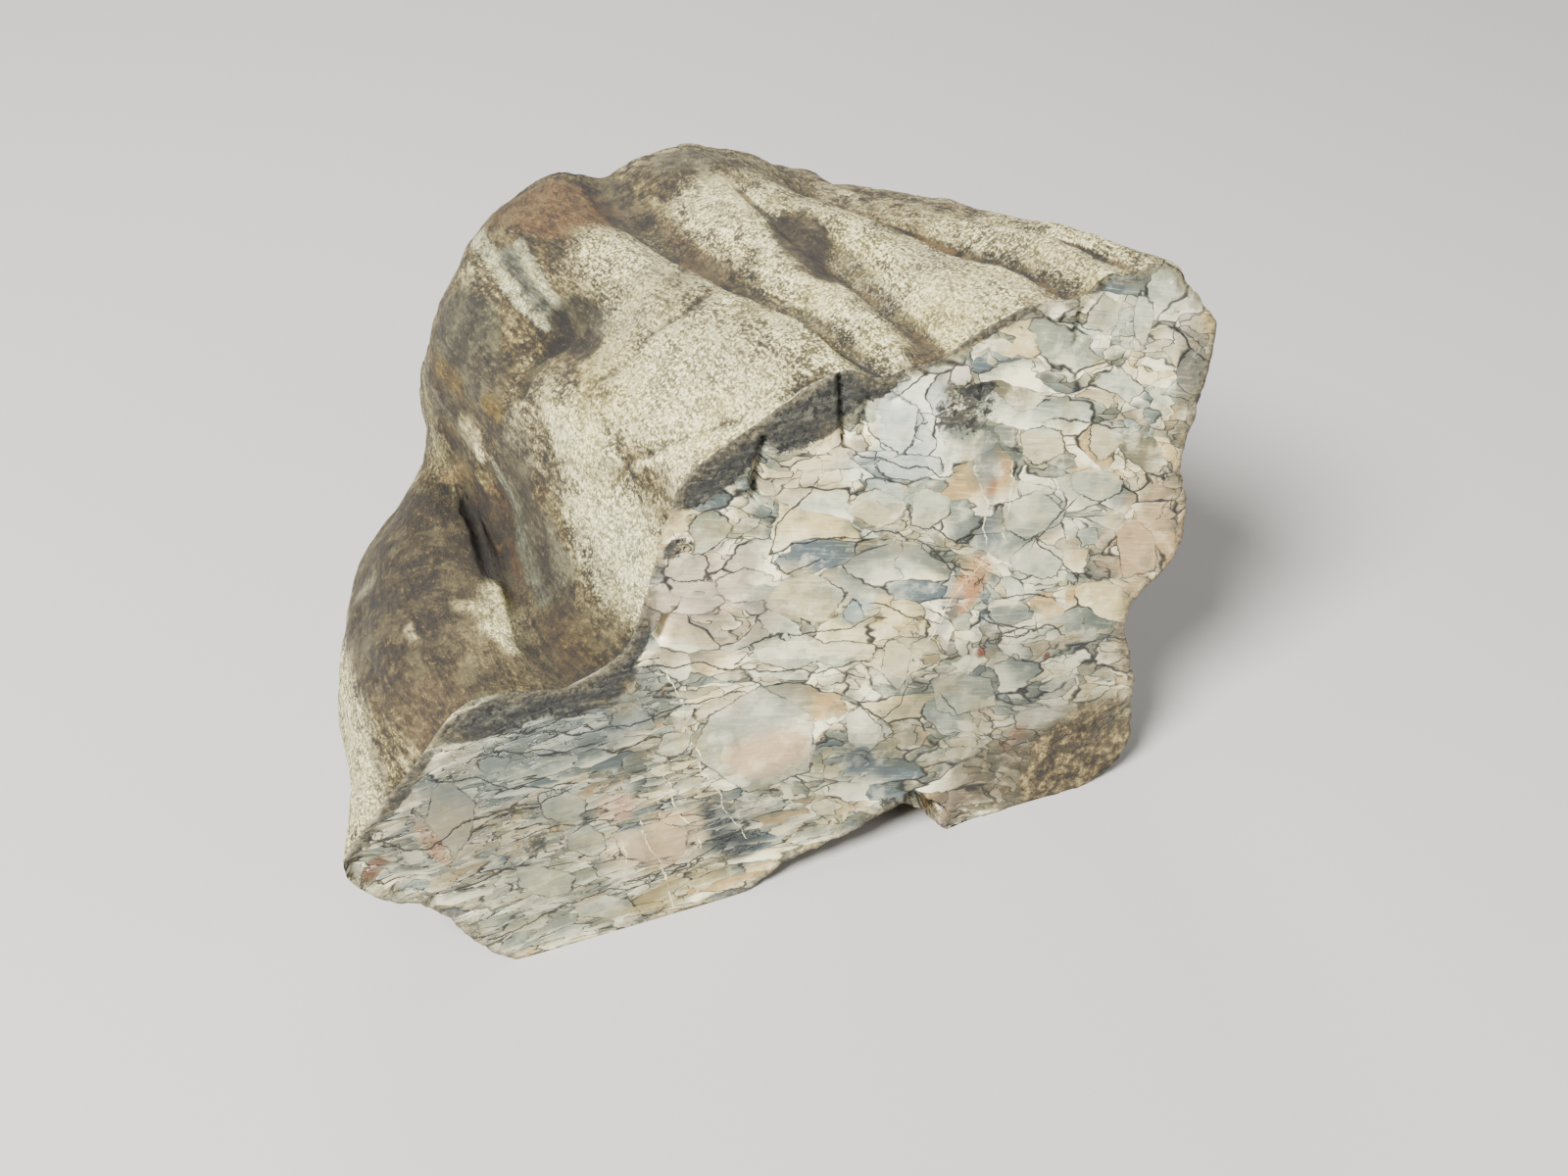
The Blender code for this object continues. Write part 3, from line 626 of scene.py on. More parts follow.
# Dark smoky places on the polished cut, same form
cutSmoke = {
    "crestBandLow": (-7.0, 66.0, 8.0, 2.8, 33, 0.95),
    "crestBandHigh": (4.2, 70.8, 7.0, 4.6, 22, 1.0),
    "crestBandEnd": (12.0, 71.8, 3.4, 1.8, 4, 0.9),
    "rimBand": (23, 75.0, 13.0, 1.0, 15, 0.75),
    "bloom": (24.2, 66.3, 5.4, 4.4, 20, 0.46),
    "bloomTop": (26.0, 68.6, 2.6, 1.1, 5, 0.85),
    "valleyBand": (-36.5, 39.3, 9.0, 2.6, 8, 1.0),
    "valleyBandTwo": (-26.0, 39.0, 6.0, 2.3, 14, 1.0),
    "valleyRise": (-20.4, 44.6, 2.0, 5.2, -32, 0.95),
    "lobeRim": (-50.0, 32.3, 1.3, 6.5, -42, 0.7),
    "tipDark": (-56.0, 26.0, 0.9, 3.8, -36, 0.6),
    "flankCorner": (-13.4, 56.4, 2.4, 1.5, 20, 0.55),
    "smudge": (-36.0, 18.5, 2.2, 2.8, -20, 0.45),
    "rimSpeck": (53.0, 50.8, 2.0, 1.8, 0, 0.45),
    "footShade": (14.0, 8.0, 3.0, 1.4, -35, 0.5),
    "rimRight": (57.0, 66.0, 1.4, 6.0, 0, 0.35),
}

# Long cracks across the polished cut, as (x, z) points
darkCracks = {
    "windowSill": [(9.7, 63.7), (12.6, 62), (16.5, 60.4), (18.8, 59.5), (20.7, 58), (22.6, 58.1)],
    "longMiddle": [(-1.9, 51.9), (1.1, 53.5), (4.6, 53), (9.4, 52.1), (11.2, 52.5), (14.8, 51.5),
                   (17.9, 49.3), (21, 46.8), (23, 43.3)],
    "windowLeft": [(4.9, 61), (2.6, 59), (0.5, 57.3), (-1, 56.5), (-1.5, 54.4), (-1.9, 51.9), (0.3, 49.5),
                   (4.2, 49.8)],
    "waistUpper": [(-6.1, 40.3), (-0.7, 40.7), (3.5, 39.5), (8.5, 39.3), (11.7, 40)],
    "waistLower": [(-18.7, 40.8), (-11.8, 39.3), (-7.6, 37), (-1, 35.1), (3.3, 33.8), (7, 33.4),
                   (10.8, 33.6)],
    "waistLink": [(-8.7, 37.9), (-5.6, 38.8), (-2.5, 41.2), (-1.1, 39.9)],
    "blueFloor": [(11.7, 41.9), (15.1, 39.9), (17.6, 37.4), (20.2, 36.7)],
    "roundUpper": [(34.7, 45.4), (36.8, 47.9), (40, 50.2)],
    "roundLower": [(34.7, 45.4), (37.9, 41.9), (41.2, 37.8)],
    "roundFloor": [(29.8, 38.1), (33.7, 37.2), (37.4, 36.2)],
    "tealLine": [(27.1, 35.6), (30.2, 33.3), (32.9, 32.3), (37.7, 31.1), (39.5, 29.6)],
    "redLine": [(27.6, 31.5), (31.6, 31.2), (35.7, 31.2)],
    "lowSlant": [(16.7, 28.5), (14.9, 25), (12.6, 23.7)],
    "lowDash": [(21.6, 24.4), (22.9, 21.4)],
    "topRight": [(35.9, 62.3), (39.8, 61.7), (44.7, 59.4), (47, 59.3)],
    "tipLong": [(-55.9, 26.6), (-50.9, 22.8), (-48.4, 21.9), (-44, 24.9), (-37.4, 24.8), (-30.6, 25.1)],
    "footLong": [(-43.7, 4.7), (-38.1, 5.5), (-32.8, 7.2), (-27.5, 7.1), (-22.1, 6.5), (-14.5, 7.9)],
    "footUpper": [(-24.8, 7.8), (-16.6, 8.3), (-8, 10.5)],
    "lobeMiddle": [(-38.4, 19.9), (-36.1, 20.1), (-31.2, 20.1), (-25.8, 18.7)],
    "lobeOne": [(-41.9, 33.8), (-38.1, 33.8), (-29.8, 31.4)],
    "lobeTwo": [(-38, 36.1), (-32.5, 35.9), (-27.2, 36.4)],
    "lobeThree": [(-47, 32.1), (-41.1, 30.7), (-37, 27.6), (-31, 26.6)],
    "lobeFour": [(-30.8, 34.2), (-24.2, 33), (-19.4, 33.1), (-12.4, 33.9), (-6.8, 33.4)],
}

# Thin pale veins across it, same form
paleVeins = {
    "rightLong": [(25.4, 59.6), (26.4, 55.4), (27.3, 52), (27.2, 48), (26.6, 43.7), (23.7, 41.5),
                  (21.2, 37.2), (18.3, 32.8), (16.7, 28.8)],
    "rightShort": [(30.6, 62), (30.6, 56.9), (31.1, 54.9), (30.3, 51.8), (29.9, 47.3)],
    "inkVein": [(-16, 39.7), (-14, 27.4), (-12, 20.1), (-8.3, 10.4)],
    "peachVein": [(-18.3, 23.7), (-16.6, 16.9), (-13.7, 9.6)],
    "footVein": [(-22.3, 17.5), (-19.2, 5.4), (-19.3, 1.2)],
    "footVeinShort": [(-24.6, 14.3), (-24.8, 8.3)],
}


def lineField(x, z, lines):
    # signed distance to the nearest line, and 1 close to a line
    px = x + 0.25 * (np.sin(0.9 * z + 0.5 * x) + 0.5 * np.sin(2.3 * x - 1.1 * z))
    pz = z + 0.25 * (np.sin(0.8 * x - 0.6 * z) + 0.5 * np.sin(1.7 * z + 1.9 * x))
    best = np.full(len(x), 1e9)
    side = np.zeros(len(x))
    for line in lines.values():
        for (ax, az), (bx, bz) in zip(line, line[1:]):
            dist = nearLine(px, pz, (ax, az, bx, bz))
            turn = (px - ax) * (bz - az) - (pz - az) * (bx - ax)
            closer = dist < best
            best = np.where(closer, dist, best)
            side = np.where(closer, np.sign(turn) * dist, side)
    return np.clip(side, -3, 3), ease(1.6, 0.8, best)


def ellipseShare(x, z, spot):
    turn = math.radians(spot[4])
    dx, dz = x - spot[0], z - spot[1]
    a = (dx * math.cos(turn) + dz * math.sin(turn)) / spot[2]
    b = (-dx * math.sin(turn) + dz * math.cos(turn)) / spot[3]
    return ease(1.35, 0.6, np.hypot(a, b))


def toLinear(hexColour):
    parts = [int(hexColour[i:i + 2], 16) / 255 for i in (1, 3, 5)]
    return [c / 12.92 if c <= 0.04045 else ((c + 0.055) / 1.055) ** 2.4 for c in parts]


# Coloured places on the rind: (x, y, z, half sizes along x, y and z, colour, strength)
rindTints = {
    "reddishKnob": (-11, 67, 73, 9, 11, 8, "#977b57", 0.85),
    "knobBrown": (-19, 74, 70, 5, 6, 5, "#857150", 0.7),
    "greySlope": (-27, 57, 60, 7, 9, 7.5, "#61635e", 0.9),
    "greySlopeLow": (-27, 50, 59, 5, 6, 4, "#6f6961", 0.8),
    "whiteStreak": (-19.5, 56, 68.5, 3.4, 7.5, 3.0, "#b4bab9", 0.75),
    "hollowDark": (-14.5, 46, 66.5, 3.6, 4.6, 3.6, "#534e46", 0.9),
    "hollowSlate": (-13, 41, 68.5, 3.4, 4.0, 3.0, "#7a7978", 0.7),
    "amberOne": (-32, 58, 54, 3.0, 4.0, 3.6, "#6f6238", 0.7),
    "amberTwo": (-30, 50, 53, 2.2, 2.6, 3.4, "#6f6749", 0.75),
    "amberDark": (-33, 54, 50, 5, 9, 7, "#544a36", 0.9),
    "whiteLump": (-30, 48.5, 50.5, 1.5, 2.6, 2.2, "#d2ccc0", 0.9),
    "creaseOrange": (-28.4, 41, 43.6, 1.7, 6.5, 2.6, "#87704e", 0.7),
    "creaseDark": (-31, 38, 41.6, 2.8, 12, 3.0, "#4a4036", 0.9),
    "creaseBrown": (-27.5, 14, 42.4, 5.5, 10, 2.6, "#837253", 0.75),
    "lobeBrown": (-43, 28, 42, 13, 27, 9, "#5e5341", 0.95),
    "lobeDark": (-41, 40, 42, 7, 9, 5, "#5d523f", 0.75),
    "lobeTan": (-45, 8, 40, 5, 6, 5, "#988974", 0.6),
    "tipTan": (-54, 7, 28, 5, 6, 6, "#a0947f", 0.6),
    "crustCluster": (-33, 21, 42.4, 4.5, 6, 3, "#ddd6c2", 0.85),
    "crustTrail": (-36, 15, 42.6, 7, 5, 3, "#cec4af", 0.5),
    "lobeEdge": (-54, 14, 31, 3.0, 22, 8, "#bebcb2", 0.6),
    "flankWhite": (-19, 13, 52.5, 5.5, 13, 7.5, "#dcddd5", 0.9),
    "flankWhiteTop": (-19.5, 25, 61, 5, 9, 5, "#d3d4ca", 0.85),
    "flankGrey": (-26.5, 27, 46.5, 3.5, 15, 4.8, "#8a8a84", 0.85),
    "flankShade": (-26.5, 38, 54, 3.5, 7, 6.0, "#686258", 0.8),
    "cheekCream": (-6, 17, 70, 13, 13, 7, "#d1ccbb", 0.85),
    "cheekYellow": (-14, 29, 67.5, 7, 9, 4, "#ccc29d", 0.7),
    "cheekOval": (-4.5, 20.5, 73.4, 5.6, 5.4, 2.6, "#a09c8e", 0.85),
    "cheekBack": (-8, 38, 73, 6, 7, 4, "#989184", 0.7),
    "fluteRust": (1.5, 46, 71.5, 3.0, 16, 2.4, "#857356", 0.7),
    "fluteRustFront": (10, 16, 73.2, 2.2, 12, 1.8, "#8b7b5c", 0.6),
    "darkPatch": (15.5, 42, 75, 3.4, 5.5, 2.4, "#5f574d", 0.95),
    "humpGrey": (9, 72, 74, 7, 7, 4, "#949086", 0.7),
    "humpCream": (9, 57, 75, 6, 9, 3, "#cbc4b0", 0.7),
    "ridgeCream": (25, 20, 77.4, 4.5, 12, 2.4, "#d4ccb7", 0.75),
    "ridgeCreamTwo": (34, 14, 79, 3.5, 9, 2.0, "#d6ceb8", 0.7),
    "midCream": (12, 30, 75, 3.4, 12, 2.2, "#d0c9b6", 0.7),
    "fluteShade": (19.5, 24, 73.6, 2.6, 15, 2.0, "#7a6c5a", 0.75),
    "fluteShadeTwo": (37, 20, 77.8, 2.6, 13, 2.0, "#736551", 0.75),
    "farTan": (33, 45, 74.5, 7, 12, 4, "#ada28a", 0.6),
    "farTanRidge": (41, 20, 80.0, 3.0, 15, 2.2, "#b8ac93", 0.65),
    "farDark": (27, 34, 76, 4.0, 9, 2.4, "#756a57", 0.6),
    "rightTan": (54, 20, 70, 6, 16, 8, "#988c76", 0.6),
}

# How much pale chalky crust each place carries: (x, y, z, half sizes, amount)
rindCrust = {
    "flank": (-19, 15, 53, 6.5, 16, 9, 0.80),
    "flankTop": (-19, 27, 62, 6, 9, 4, 0.70),
    "cheek": (-6, 18, 70, 15, 17, 7, 0.95),
    "cheekBack": (-10, 36, 71, 8, 10, 5, 0.45),
    "ridges": (18, 24, 76, 22, 24, 6, 0.70),
    "ridgesFar": (38, 22, 78, 14, 26, 6, 0.55),
    "hump": (8, 52, 75, 10, 12, 4, 0.60),
    "saddle": (-6, 52, 73, 9, 12, 4, 0.60),
    "streak": (-20, 56, 69, 3.4, 7, 3.0, 0.22),
    "cluster": (-33, 20, 42.4, 5, 8, 3, 0.75),
    "lobeLeft": (-55.5, 15, 31, 3.4, 26, 9, 0.60),
    "tip": (-55, 8, 26, 6, 8, 8, 0.30),
    "behindRim": (0, 2, 76, 60, 3, 14, 0.30),
}

# Places where the crust is worn off, same form
rindBare = {
    "knob": (-11, 68, 72, 11, 13, 8, 1.2),
    "humpTop": (7, 72, 75, 9, 8, 4, 0.5),
    "greySlope": (-28, 55, 58, 7, 14, 9, 1.2),
    "hollow": (-15, 45, 66, 5, 6, 4, 0.7),
    "lobe": (-44, 27, 42, 12, 28, 8, 1.1),
    "crease": (-29, 36, 43, 4, 22, 5, 0.8),
    "flankBack": (-27, 28, 48, 4, 16, 7, 0.5),
    "darkPatch": (15.5, 42, 75, 3.6, 6, 3, 1.0),
    "fluteFoot": (19, 10, 73, 3, 10, 2.4, 0.6),
}


def ballShare(p, spot):
    d = (p - np.array(spot[:3])) / np.array(spot[3:6])
    return ease(1.25, 0.45, np.linalg.norm(d, axis=1))


def paintCut():
    x, z = points[:, 0], points[:, 2]
    tint = np.zeros((len(points), 4))
    for spot in cutTints.values():
        share = ellipseShare(x, z, spot) * spot[6]
        tint[:, :3] = tint[:, :3] * (1 - share[:, None]) + np.array(toLinear(spot[5])) * share[:, None]
        tint[:, 3] = 1 - (1 - tint[:, 3]) * (1 - share)
    smoke = np.zeros(len(points))
    for spot in cutSmoke.values():
        smoke = np.maximum(smoke, ellipseShare(x, z, spot) * spot[5])
    # painted shade where the light falls off, from cutShade
    shade = np.zeros(len(points))
    for spot in cutShade.values():
        shade = np.maximum(shade, ellipseShare(x, z, spot) * spot[5])
    # how far outside the nearest smooth piece, in mm, below 0 inside it
    outline = np.full(len(points), 9.0)
    rng = np.random.default_rng(stone["seed"])
    for cx, cz, ax, az, bx, bz in smoothPieces.values():
        spin = ax * bz - az * bx
        a = ((x - cx) * bz - (z - cz) * bx) / spin
        b = ((z - cz) * ax - (x - cx) * az) / spin
        sides = 6
        turns = (np.arange(sides) + rng.uniform(-0.32, 0.32, sides)) * 2 * math.pi / sides
        reach = rng.uniform(0.72, 1.05, sides)
        off = np.max([a * math.cos(t) + b * math.sin(t) - r for t, r in zip(turns, reach)], axis=0)
        outline = np.minimum(outline, off * math.sqrt(abs(spin)))
    tint[:, :3] /= np.maximum(tint[:, 3:], 1e-4)
    return tint, smoke, shade, outline


def paintRind():
    tint = np.zeros((len(points), 4))
    layers = [(ballShare(points, spot) * spot[7], spot[6]) for spot in rindTints.values()]
    layers += [(strength * ease(1.7 * halfWidth, 0.2 * halfWidth, farFromLine(points, line)), colour)
               for line, halfWidth, colour, strength, crustChange, depth in rindMarks.values()]
    for share, colour in layers:
        tint[:, :3] = tint[:, :3] * (1 - share[:, None]) + np.array(toLinear(colour)) * share[:, None]
        tint[:, 3] = 1 - (1 - tint[:, 3]) * (1 - share)
    crust = np.zeros(len(points))
    for spot in rindCrust.values():
        crust = np.maximum(crust, ballShare(points, spot) * spot[6])
    for spot in rindBare.values():
        crust -= ballShare(points, spot) * spot[6]
    for line, halfWidth, colour, strength, crustChange, depth in rindMarks.values():
        crust += crustChange * ease(1.7 * halfWidth, 0.2 * halfWidth, farFromLine(points, line))
    tint[:, :3] /= np.maximum(tint[:, 3:], 1e-4)
    return tint, crust


# Usual length and height of the pieces of the cut, in millimetres
pieceSizes = {
    "slivers": (6.2, 1.7),        # lying level in the low lobe and foot
    "roundPieces": (7.4, 4.5),    # sinking to the right, above
}


def cutFlows():
    # bent coordinates in which the pieces of the cut are about one unit across
    x, z = points[:, 0], points[:, 2]
    length, height = pieceSizes["slivers"]
    slivers = np.column_stack([x / length, (z + 0.06 * x + 0.0016 * x * x) / height, z * 0])
    length, height = pieceSizes["roundPieces"]
    roundPieces = np.column_stack([(x - 0.15 * z) / length, (z + 0.30 * x) / height, z * 0])
    coarse = ease(-22, 6, x + 0.55 * (z - 26)) * ease(4, 14, z + 0.25 * x)
    return slivers, roundPieces, coarse


def makeMesh():
    mesh = bpy.data.meshes.new("stoneRaw")
    mesh.from_pydata([tuple(p) for p in place], [], faces)
    mesh.update()
    cutTint, smoke, shade, outline = paintCut()
    rindTint, crust = paintRind()
    x, z = points[:, 0], points[:, 2]
    slivers, roundPieces, coarse = cutFlows()
    crackSide, crackNear = lineField(x, z, darkCracks)
    veinSide, veinNear = lineField(x, z, paleVeins)
    rim = rind[0][:, [0, 2]]
    toRim = np.array([np.sqrt(((rim - p) ** 2).sum(axis=1).min()) for p in points[:, [0, 2]]])
    scalars = {"smoke": smoke, "shade": shade, "outline": outline, "crust": crust, "broken": brokenAt,
               "standing": standingAt, "seam": seamAt, "corner": ease(16, 44, x) * ease(24, 3, z),
               "coarse": coarse, "toRim": toRim, "crackSide": crackSide, "crackNear": crackNear,
               "veinSide": veinSide, "veinNear": veinNear}
    for name, values in scalars.items():
        mesh.attributes.new(name, "FLOAT", "POINT").data.foreach_set("value", values.astype(np.float32))
    for name, values in {"cutTint": cutTint, "rindTint": rindTint}.items():
        layer = mesh.attributes.new(name, "FLOAT_COLOR", "POINT")
        layer.data.foreach_set("color", values.astype(np.float32).ravel())
    for name, values in {"grain": grainPlace, "slivers": slivers, "roundPieces": roundPieces}.items():
        layer = mesh.attributes.new(name, "FLOAT_VECTOR", "POINT")
        layer.data.foreach_set("vector", values.astype(np.float32).ravel())
    mesh.attributes.new("zone", "INT", "FACE").data.foreach_set("value", np.array(zone, np.int32))
    keepFlat = np.ones(len(points))                  # 1 on the rind, 0 on the cut and its rim
    keepFlat[: across * 2] = 0
    keepFlat[across * 2: across * 3] = 0.5
    caps = rowCount * across
    keepFlat[caps: caps + (len(cutFlat) - across)] = 0
    keepFlat[points[:, 2] < 0.4] = 0                 # and on the base, so that it stands flat
    mesh.attributes.new("loose", "FLOAT", "POINT").data.foreach_set("value", keepFlat.astype(np.float32))
    return mesh


def addNode(tree, kind, inputs=None, output=0, **settings):
    # one node: inputs are values, hex colours or other nodes' sockets, and settings its properties
    node = tree.nodes.new(kind)
    for key, value in settings.items():
        if key == "stops":
            while len(node.color_ramp.elements) < len(value):
                node.color_ramp.elements.new(0.5)
            for element, (spot, colour) in zip(node.color_ramp.elements, value):
                element.position = spot
                element.color = toLinear(colour) + [1]
        elif key == "blocky":
            node.color_ramp.interpolation = "CONSTANT"
        else:
            setattr(node, key, value)
    for key, value in (dict(enumerate(inputs)) if isinstance(inputs, list) else inputs or {}).items():
        if isinstance(value, bpy.types.NodeSocket):
            tree.links.new(value, node.inputs[key])
        elif isinstance(value, str) and value.startswith("#"):
            node.inputs[key].default_value = toLinear(value) + [1]
        else:
            node.inputs[key].default_value = value
    return node.outputs if output is None else node.outputs[output]


def product(tree, *factors):
    value = factors[0]
    for factor in factors[1:]:
        value = addNode(tree, "ShaderNodeMath", [value, factor], operation="MULTIPLY")
    return value


def roughened(tree, value, *terms):
    # a value with patterns added, each swinging about 0 by its own amount
    for pattern, amount in terms:
        swing = addNode(tree, "ShaderNodeMath", [pattern, amount, -amount / 2], operation="MULTIPLY_ADD")
        value = addNode(tree, "ShaderNodeMath", [value, swing], operation="ADD")
    return value


def paintOver(tree, colour, *layers):
    # each layer paints a colour where a value goes from low to high, up to a largest share
    for value, low, high, most, paint in layers:
        share = addNode(tree, "ShaderNodeMapRange", {0: value, 1: low, 2: high, 4: most},
                        interpolation_type="SMOOTHSTEP")
        colour = addNode(tree, "ShaderNodeMix", {0: share, 6: colour, 7: paint}, 2, data_type="RGBA")
    return colour


def makePatterns(tree, sources, table):
    # cloudy patterns by name: (source, scale along x, y and z in 1/mm, detail, roughness)
    made = {}
    for name, (source, scale, detail, rough) in table.items():
        at = addNode(tree, "ShaderNodeMapping", {"Vector": sources[source], "Scale": scale})
        made[name] = addNode(tree, "ShaderNodeTexNoise",
                             {"Vector": at, "Scale": 1.0, "Detail": detail, "Roughness": rough}, None)
    return made


def inMillimetres(tree):
    # the object's own coordinates
    at = addNode(tree, "ShaderNodeTexCoord", None, "Object")
    return addNode(tree, "ShaderNodeMapping", {"Vector": at, "Scale": (1000, 1000, 1000)})


def evenStops(colours, start, step):
    return [(start + step * i, colour) for i, colour in enumerate(colours)]


def makeMosaic(tree, at):
    # a mosaic: distance to the nearest edge, two random values and a slope across each piece
    cell = addNode(tree, "ShaderNodeTexVoronoi", {"Vector": at, "Scale": 1.0}, None)
    edge = addNode(tree, "ShaderNodeTexVoronoi", {"Vector": at, "Scale": 1.0}, feature="DISTANCE_TO_EDGE")
    away = addNode(tree, "ShaderNodeVectorMath", [at, cell["Position"]], operation="SUBTRACT")
    tilt = addNode(tree, "ShaderNodeVectorMath", [cell["Color"], (0.5, 0.5, 0.5)], operation="SUBTRACT")
    slope = addNode(tree, "ShaderNodeVectorMath", [away, tilt], "Value", operation="DOT_PRODUCT")
    random = addNode(tree, "ShaderNodeSeparateColor", [cell["Color"]], None)
    return {"edge": edge, "tone": random[0], "luck": random[1], "slope": slope}


# Fine relief over the rind, in millimetres
reliefSizes = {
    "Fibre Height": 0.24,    # fine ridges drawn out along the grain
    "Knob Height": 0.46,     # rounded lumps a few millimetres across
    "Pit Depth": 0.40,       # small weathered pits
    "Grit Height": 0.20,     # sandy crust
    "Seed": 4.0,
}

# Patterns of the relief: (source, scale along x, y and z in 1/mm, detail)
reliefPatterns = {
    "fibre": ("grain", (0.8, 0.12, 0.8), 3.0),
    "knob": ("position", (0.26, 0.18, 0.26), 3.0),
    "pit": ("position", (0.75, 0.45, 0.75), 1.0),
    "grit": ("position", (1.6, 1.6, 1.6), 2.0),
}


def buildReliefTree(materials):
    tree = bpy.data.node_groups.new("stoneRelief", "GeometryNodeTree")
    face = tree.interface
    face.new_socket("Geometry", in_out="INPUT", socket_type="NodeSocketGeometry")
    for name, value in reliefSizes.items():
        face.new_socket(name, in_out="INPUT", socket_type="NodeSocketFloat").default_value = value
    face.new_socket("Geometry", in_out="OUTPUT", socket_type="NodeSocketGeometry")
    start = tree.nodes.new("NodeGroupInput").outputs
    end = tree.nodes.new("NodeGroupOutput")
    named = {name: addNode(tree, "GeometryNodeInputNamedAttribute", {"Name": name}, data_type=kind)
             for name, kind in (("grain", "FLOAT_VECTOR"), ("broken", "FLOAT"), ("crust", "FLOAT"),
                                ("loose", "FLOAT"), ("zone", "INT"))}
    position = addNode(tree, "ShaderNodeVectorMath",
                       {0: addNode(tree, "GeometryNodeInputPosition"), "Scale": 1000.0}, operation="SCALE")
    sources = {"grain": named["grain"], "position": position}
    pattern = {}
    for name, (source, scale, detail) in reliefPatterns.items():
        at = addNode(tree, "ShaderNodeVectorMath", [sources[source], scale], operation="MULTIPLY")
        noiseAt = {"Vector": at, "W": start["Seed"], "Scale": 1.0, "Detail": detail}
        shape = addNode(tree, "ShaderNodeTexNoise", noiseAt, noise_dimensions="4D")
        pattern[name] = addNode(tree, "ShaderNodeMath", [shape, 0.5], operation="SUBTRACT")
    lessBroken = addNode(tree, "ShaderNodeMath", [1.6, named["broken"]], operation="SUBTRACT")
    moreCrust = addNode(tree, "ShaderNodeMath", [named["crust"], 0.4], operation="ADD")
    sunk = addNode(tree, "ShaderNodeMath", [addNode(tree, "ShaderNodeMath", [pattern["pit"], 0.12],
                                                    operation="SUBTRACT"), 0.0], operation="MAXIMUM")
    total = 0.0
    for part in (product(tree, pattern["fibre"], start["Fibre Height"], lessBroken),
                 product(tree, pattern["knob"], start["Knob Height"], 2.0),
                 product(tree, sunk, start["Pit Depth"], -6.0),
                 product(tree, pattern["grit"], start["Grit Height"], moreCrust)):
        total = addNode(tree, "ShaderNodeMath", [total, part], operation="ADD")
    total = product(tree, total, named["loose"], 0.001)
    normal = addNode(tree, "GeometryNodeInputNormal")
    push = addNode(tree, "ShaderNodeVectorMath", {0: normal, "Scale": total}, operation="SCALE")
    moved = addNode(tree, "GeometryNodeSetPosition", {"Geometry": start["Geometry"], "Offset": push})
    smooth = addNode(tree, "GeometryNodeSetShadeSmooth", {"Geometry": moved, "Shade Smooth": True})
    real = addNode(tree, "GeometryNodeRealizeInstances", {"Geometry": smooth})
    isCut = addNode(tree, "FunctionNodeCompare", {2: named["zone"], 3: 1}, data_type="INT",
                    operation="EQUAL")
    rindSet = addNode(tree, "GeometryNodeSetMaterial", {"Geometry": real, "Material": materials[0]})
    cutSet = addNode(tree, "GeometryNodeSetMaterial",
                     {"Geometry": rindSet, "Selection": isCut, "Material": materials[1]})
    tree.links.new(cutSet, end.inputs[0])
    return tree


def startMaterial(name, roughness, ior):
    material = bpy.data.materials.new(name)
    material.use_nodes = True
    shader = material.node_tree.nodes["Principled BSDF"]
    shader.inputs["Roughness"].default_value = roughness
    shader.inputs["IOR"].default_value = ior
    return material, material.node_tree


def readAttributes(tree, names, output):
    return {name: addNode(tree, "ShaderNodeAttribute", None, output, attribute_name=name)
            for name in names}


def finish(tree, look, colour, rough, height):
    # make the colour stronger, warmer and deeper, and join all to the shader
    shader = tree.nodes["Principled BSDF"]
    colour = addNode(tree, "ShaderNodeHueSaturation", {"Saturation": look["vivid"], "Color": colour})
    warm = addNode(tree, "ShaderNodeMix", {0: 1.0, 6: colour, 7: look["warmth"]}, 2, data_type="RGBA",
                   blend_type="MULTIPLY")
    deep = addNode(tree, "ShaderNodeGamma", {"Color": warm, "Gamma": look["depth"]})
    tree.links.new(deep, shader.inputs["Base Color"])
    tree.links.new(rough, shader.inputs["Roughness"])
    bump = addNode(tree, "ShaderNodeBump", {"Strength": look["bumpStrength"],
                                            "Distance": look["bumpDepth"], "Height": height})
    tree.links.new(bump, shader.inputs["Normal"])


# Polished chalcedony, cut and lapped: waxy, faintly cloudy pieces in a mosaic, with dark hairlines
polish = {
    "roughness": 0.24,
    "ior": 1.54,
    "pieceColours": ["#9da19b", "#efe8d3", "#848d94", "#ddd0b2", "#b1b2a8", "#cdb897", "#c9cbc3",
                     "#fbf6e6", "#97917f", "#dccbb0"],
    "smooth": "#cfcdc0",         # the large smooth pieces
    "milk": "#fffaec",
    "shade": "#757b75",
    "hairline": "#1e2023",
    "vein": "#faf3e0",
    "warmth": "#fbfdf4",
    "depth": 1.8,
    "vivid": 1.08,
    "bumpStrength": 0.6,
    "bumpDepth": 0.00025,        # metres
}

# Its patterns: (source, scale along x, y and z in 1/mm, detail, roughness)
polishPatterns = {
    "bend": ("pieces", (0.35, 0.35, 1), 2.0, 0.5),          # slow bending, so that pieces differ in size
    "jag": ("pieces", (1.7, 1.7, 1), 2.0, 0.6),             # small jogs along their edges
    "mottle": ("mm", (0.30, 0.30, 0.30), 5.0, 0.62),        # cloudy patches about 3 mm wide
    "patch": ("mm", (0.11, 0.11, 0.11), 3.0, 0.55),         # broad patches about 9 mm wide
    "grainy": ("mm", (1.6, 1.6, 1.6), 6.0, 0.78),
    "streaky": ("pieces", (1.6, 12.0, 1), 4.0, 0.65),       # bands lying along the pieces
    "fade": ("pieces", (0.6, 0.9, 1), 3.0, 0.6),            # where lines are strong or faint
    "jitter": ("mm", (1.1, 1.1, 1.1), 3.0, 0.6),
    "oldWood": ("mm", (0.22, 1.0, 1.5), 4.0, 0.65),         # streaks in the smoky bands
    "sandy": ("mm", (0.55, 0.55, 0.55), 6.0, 0.75),
}


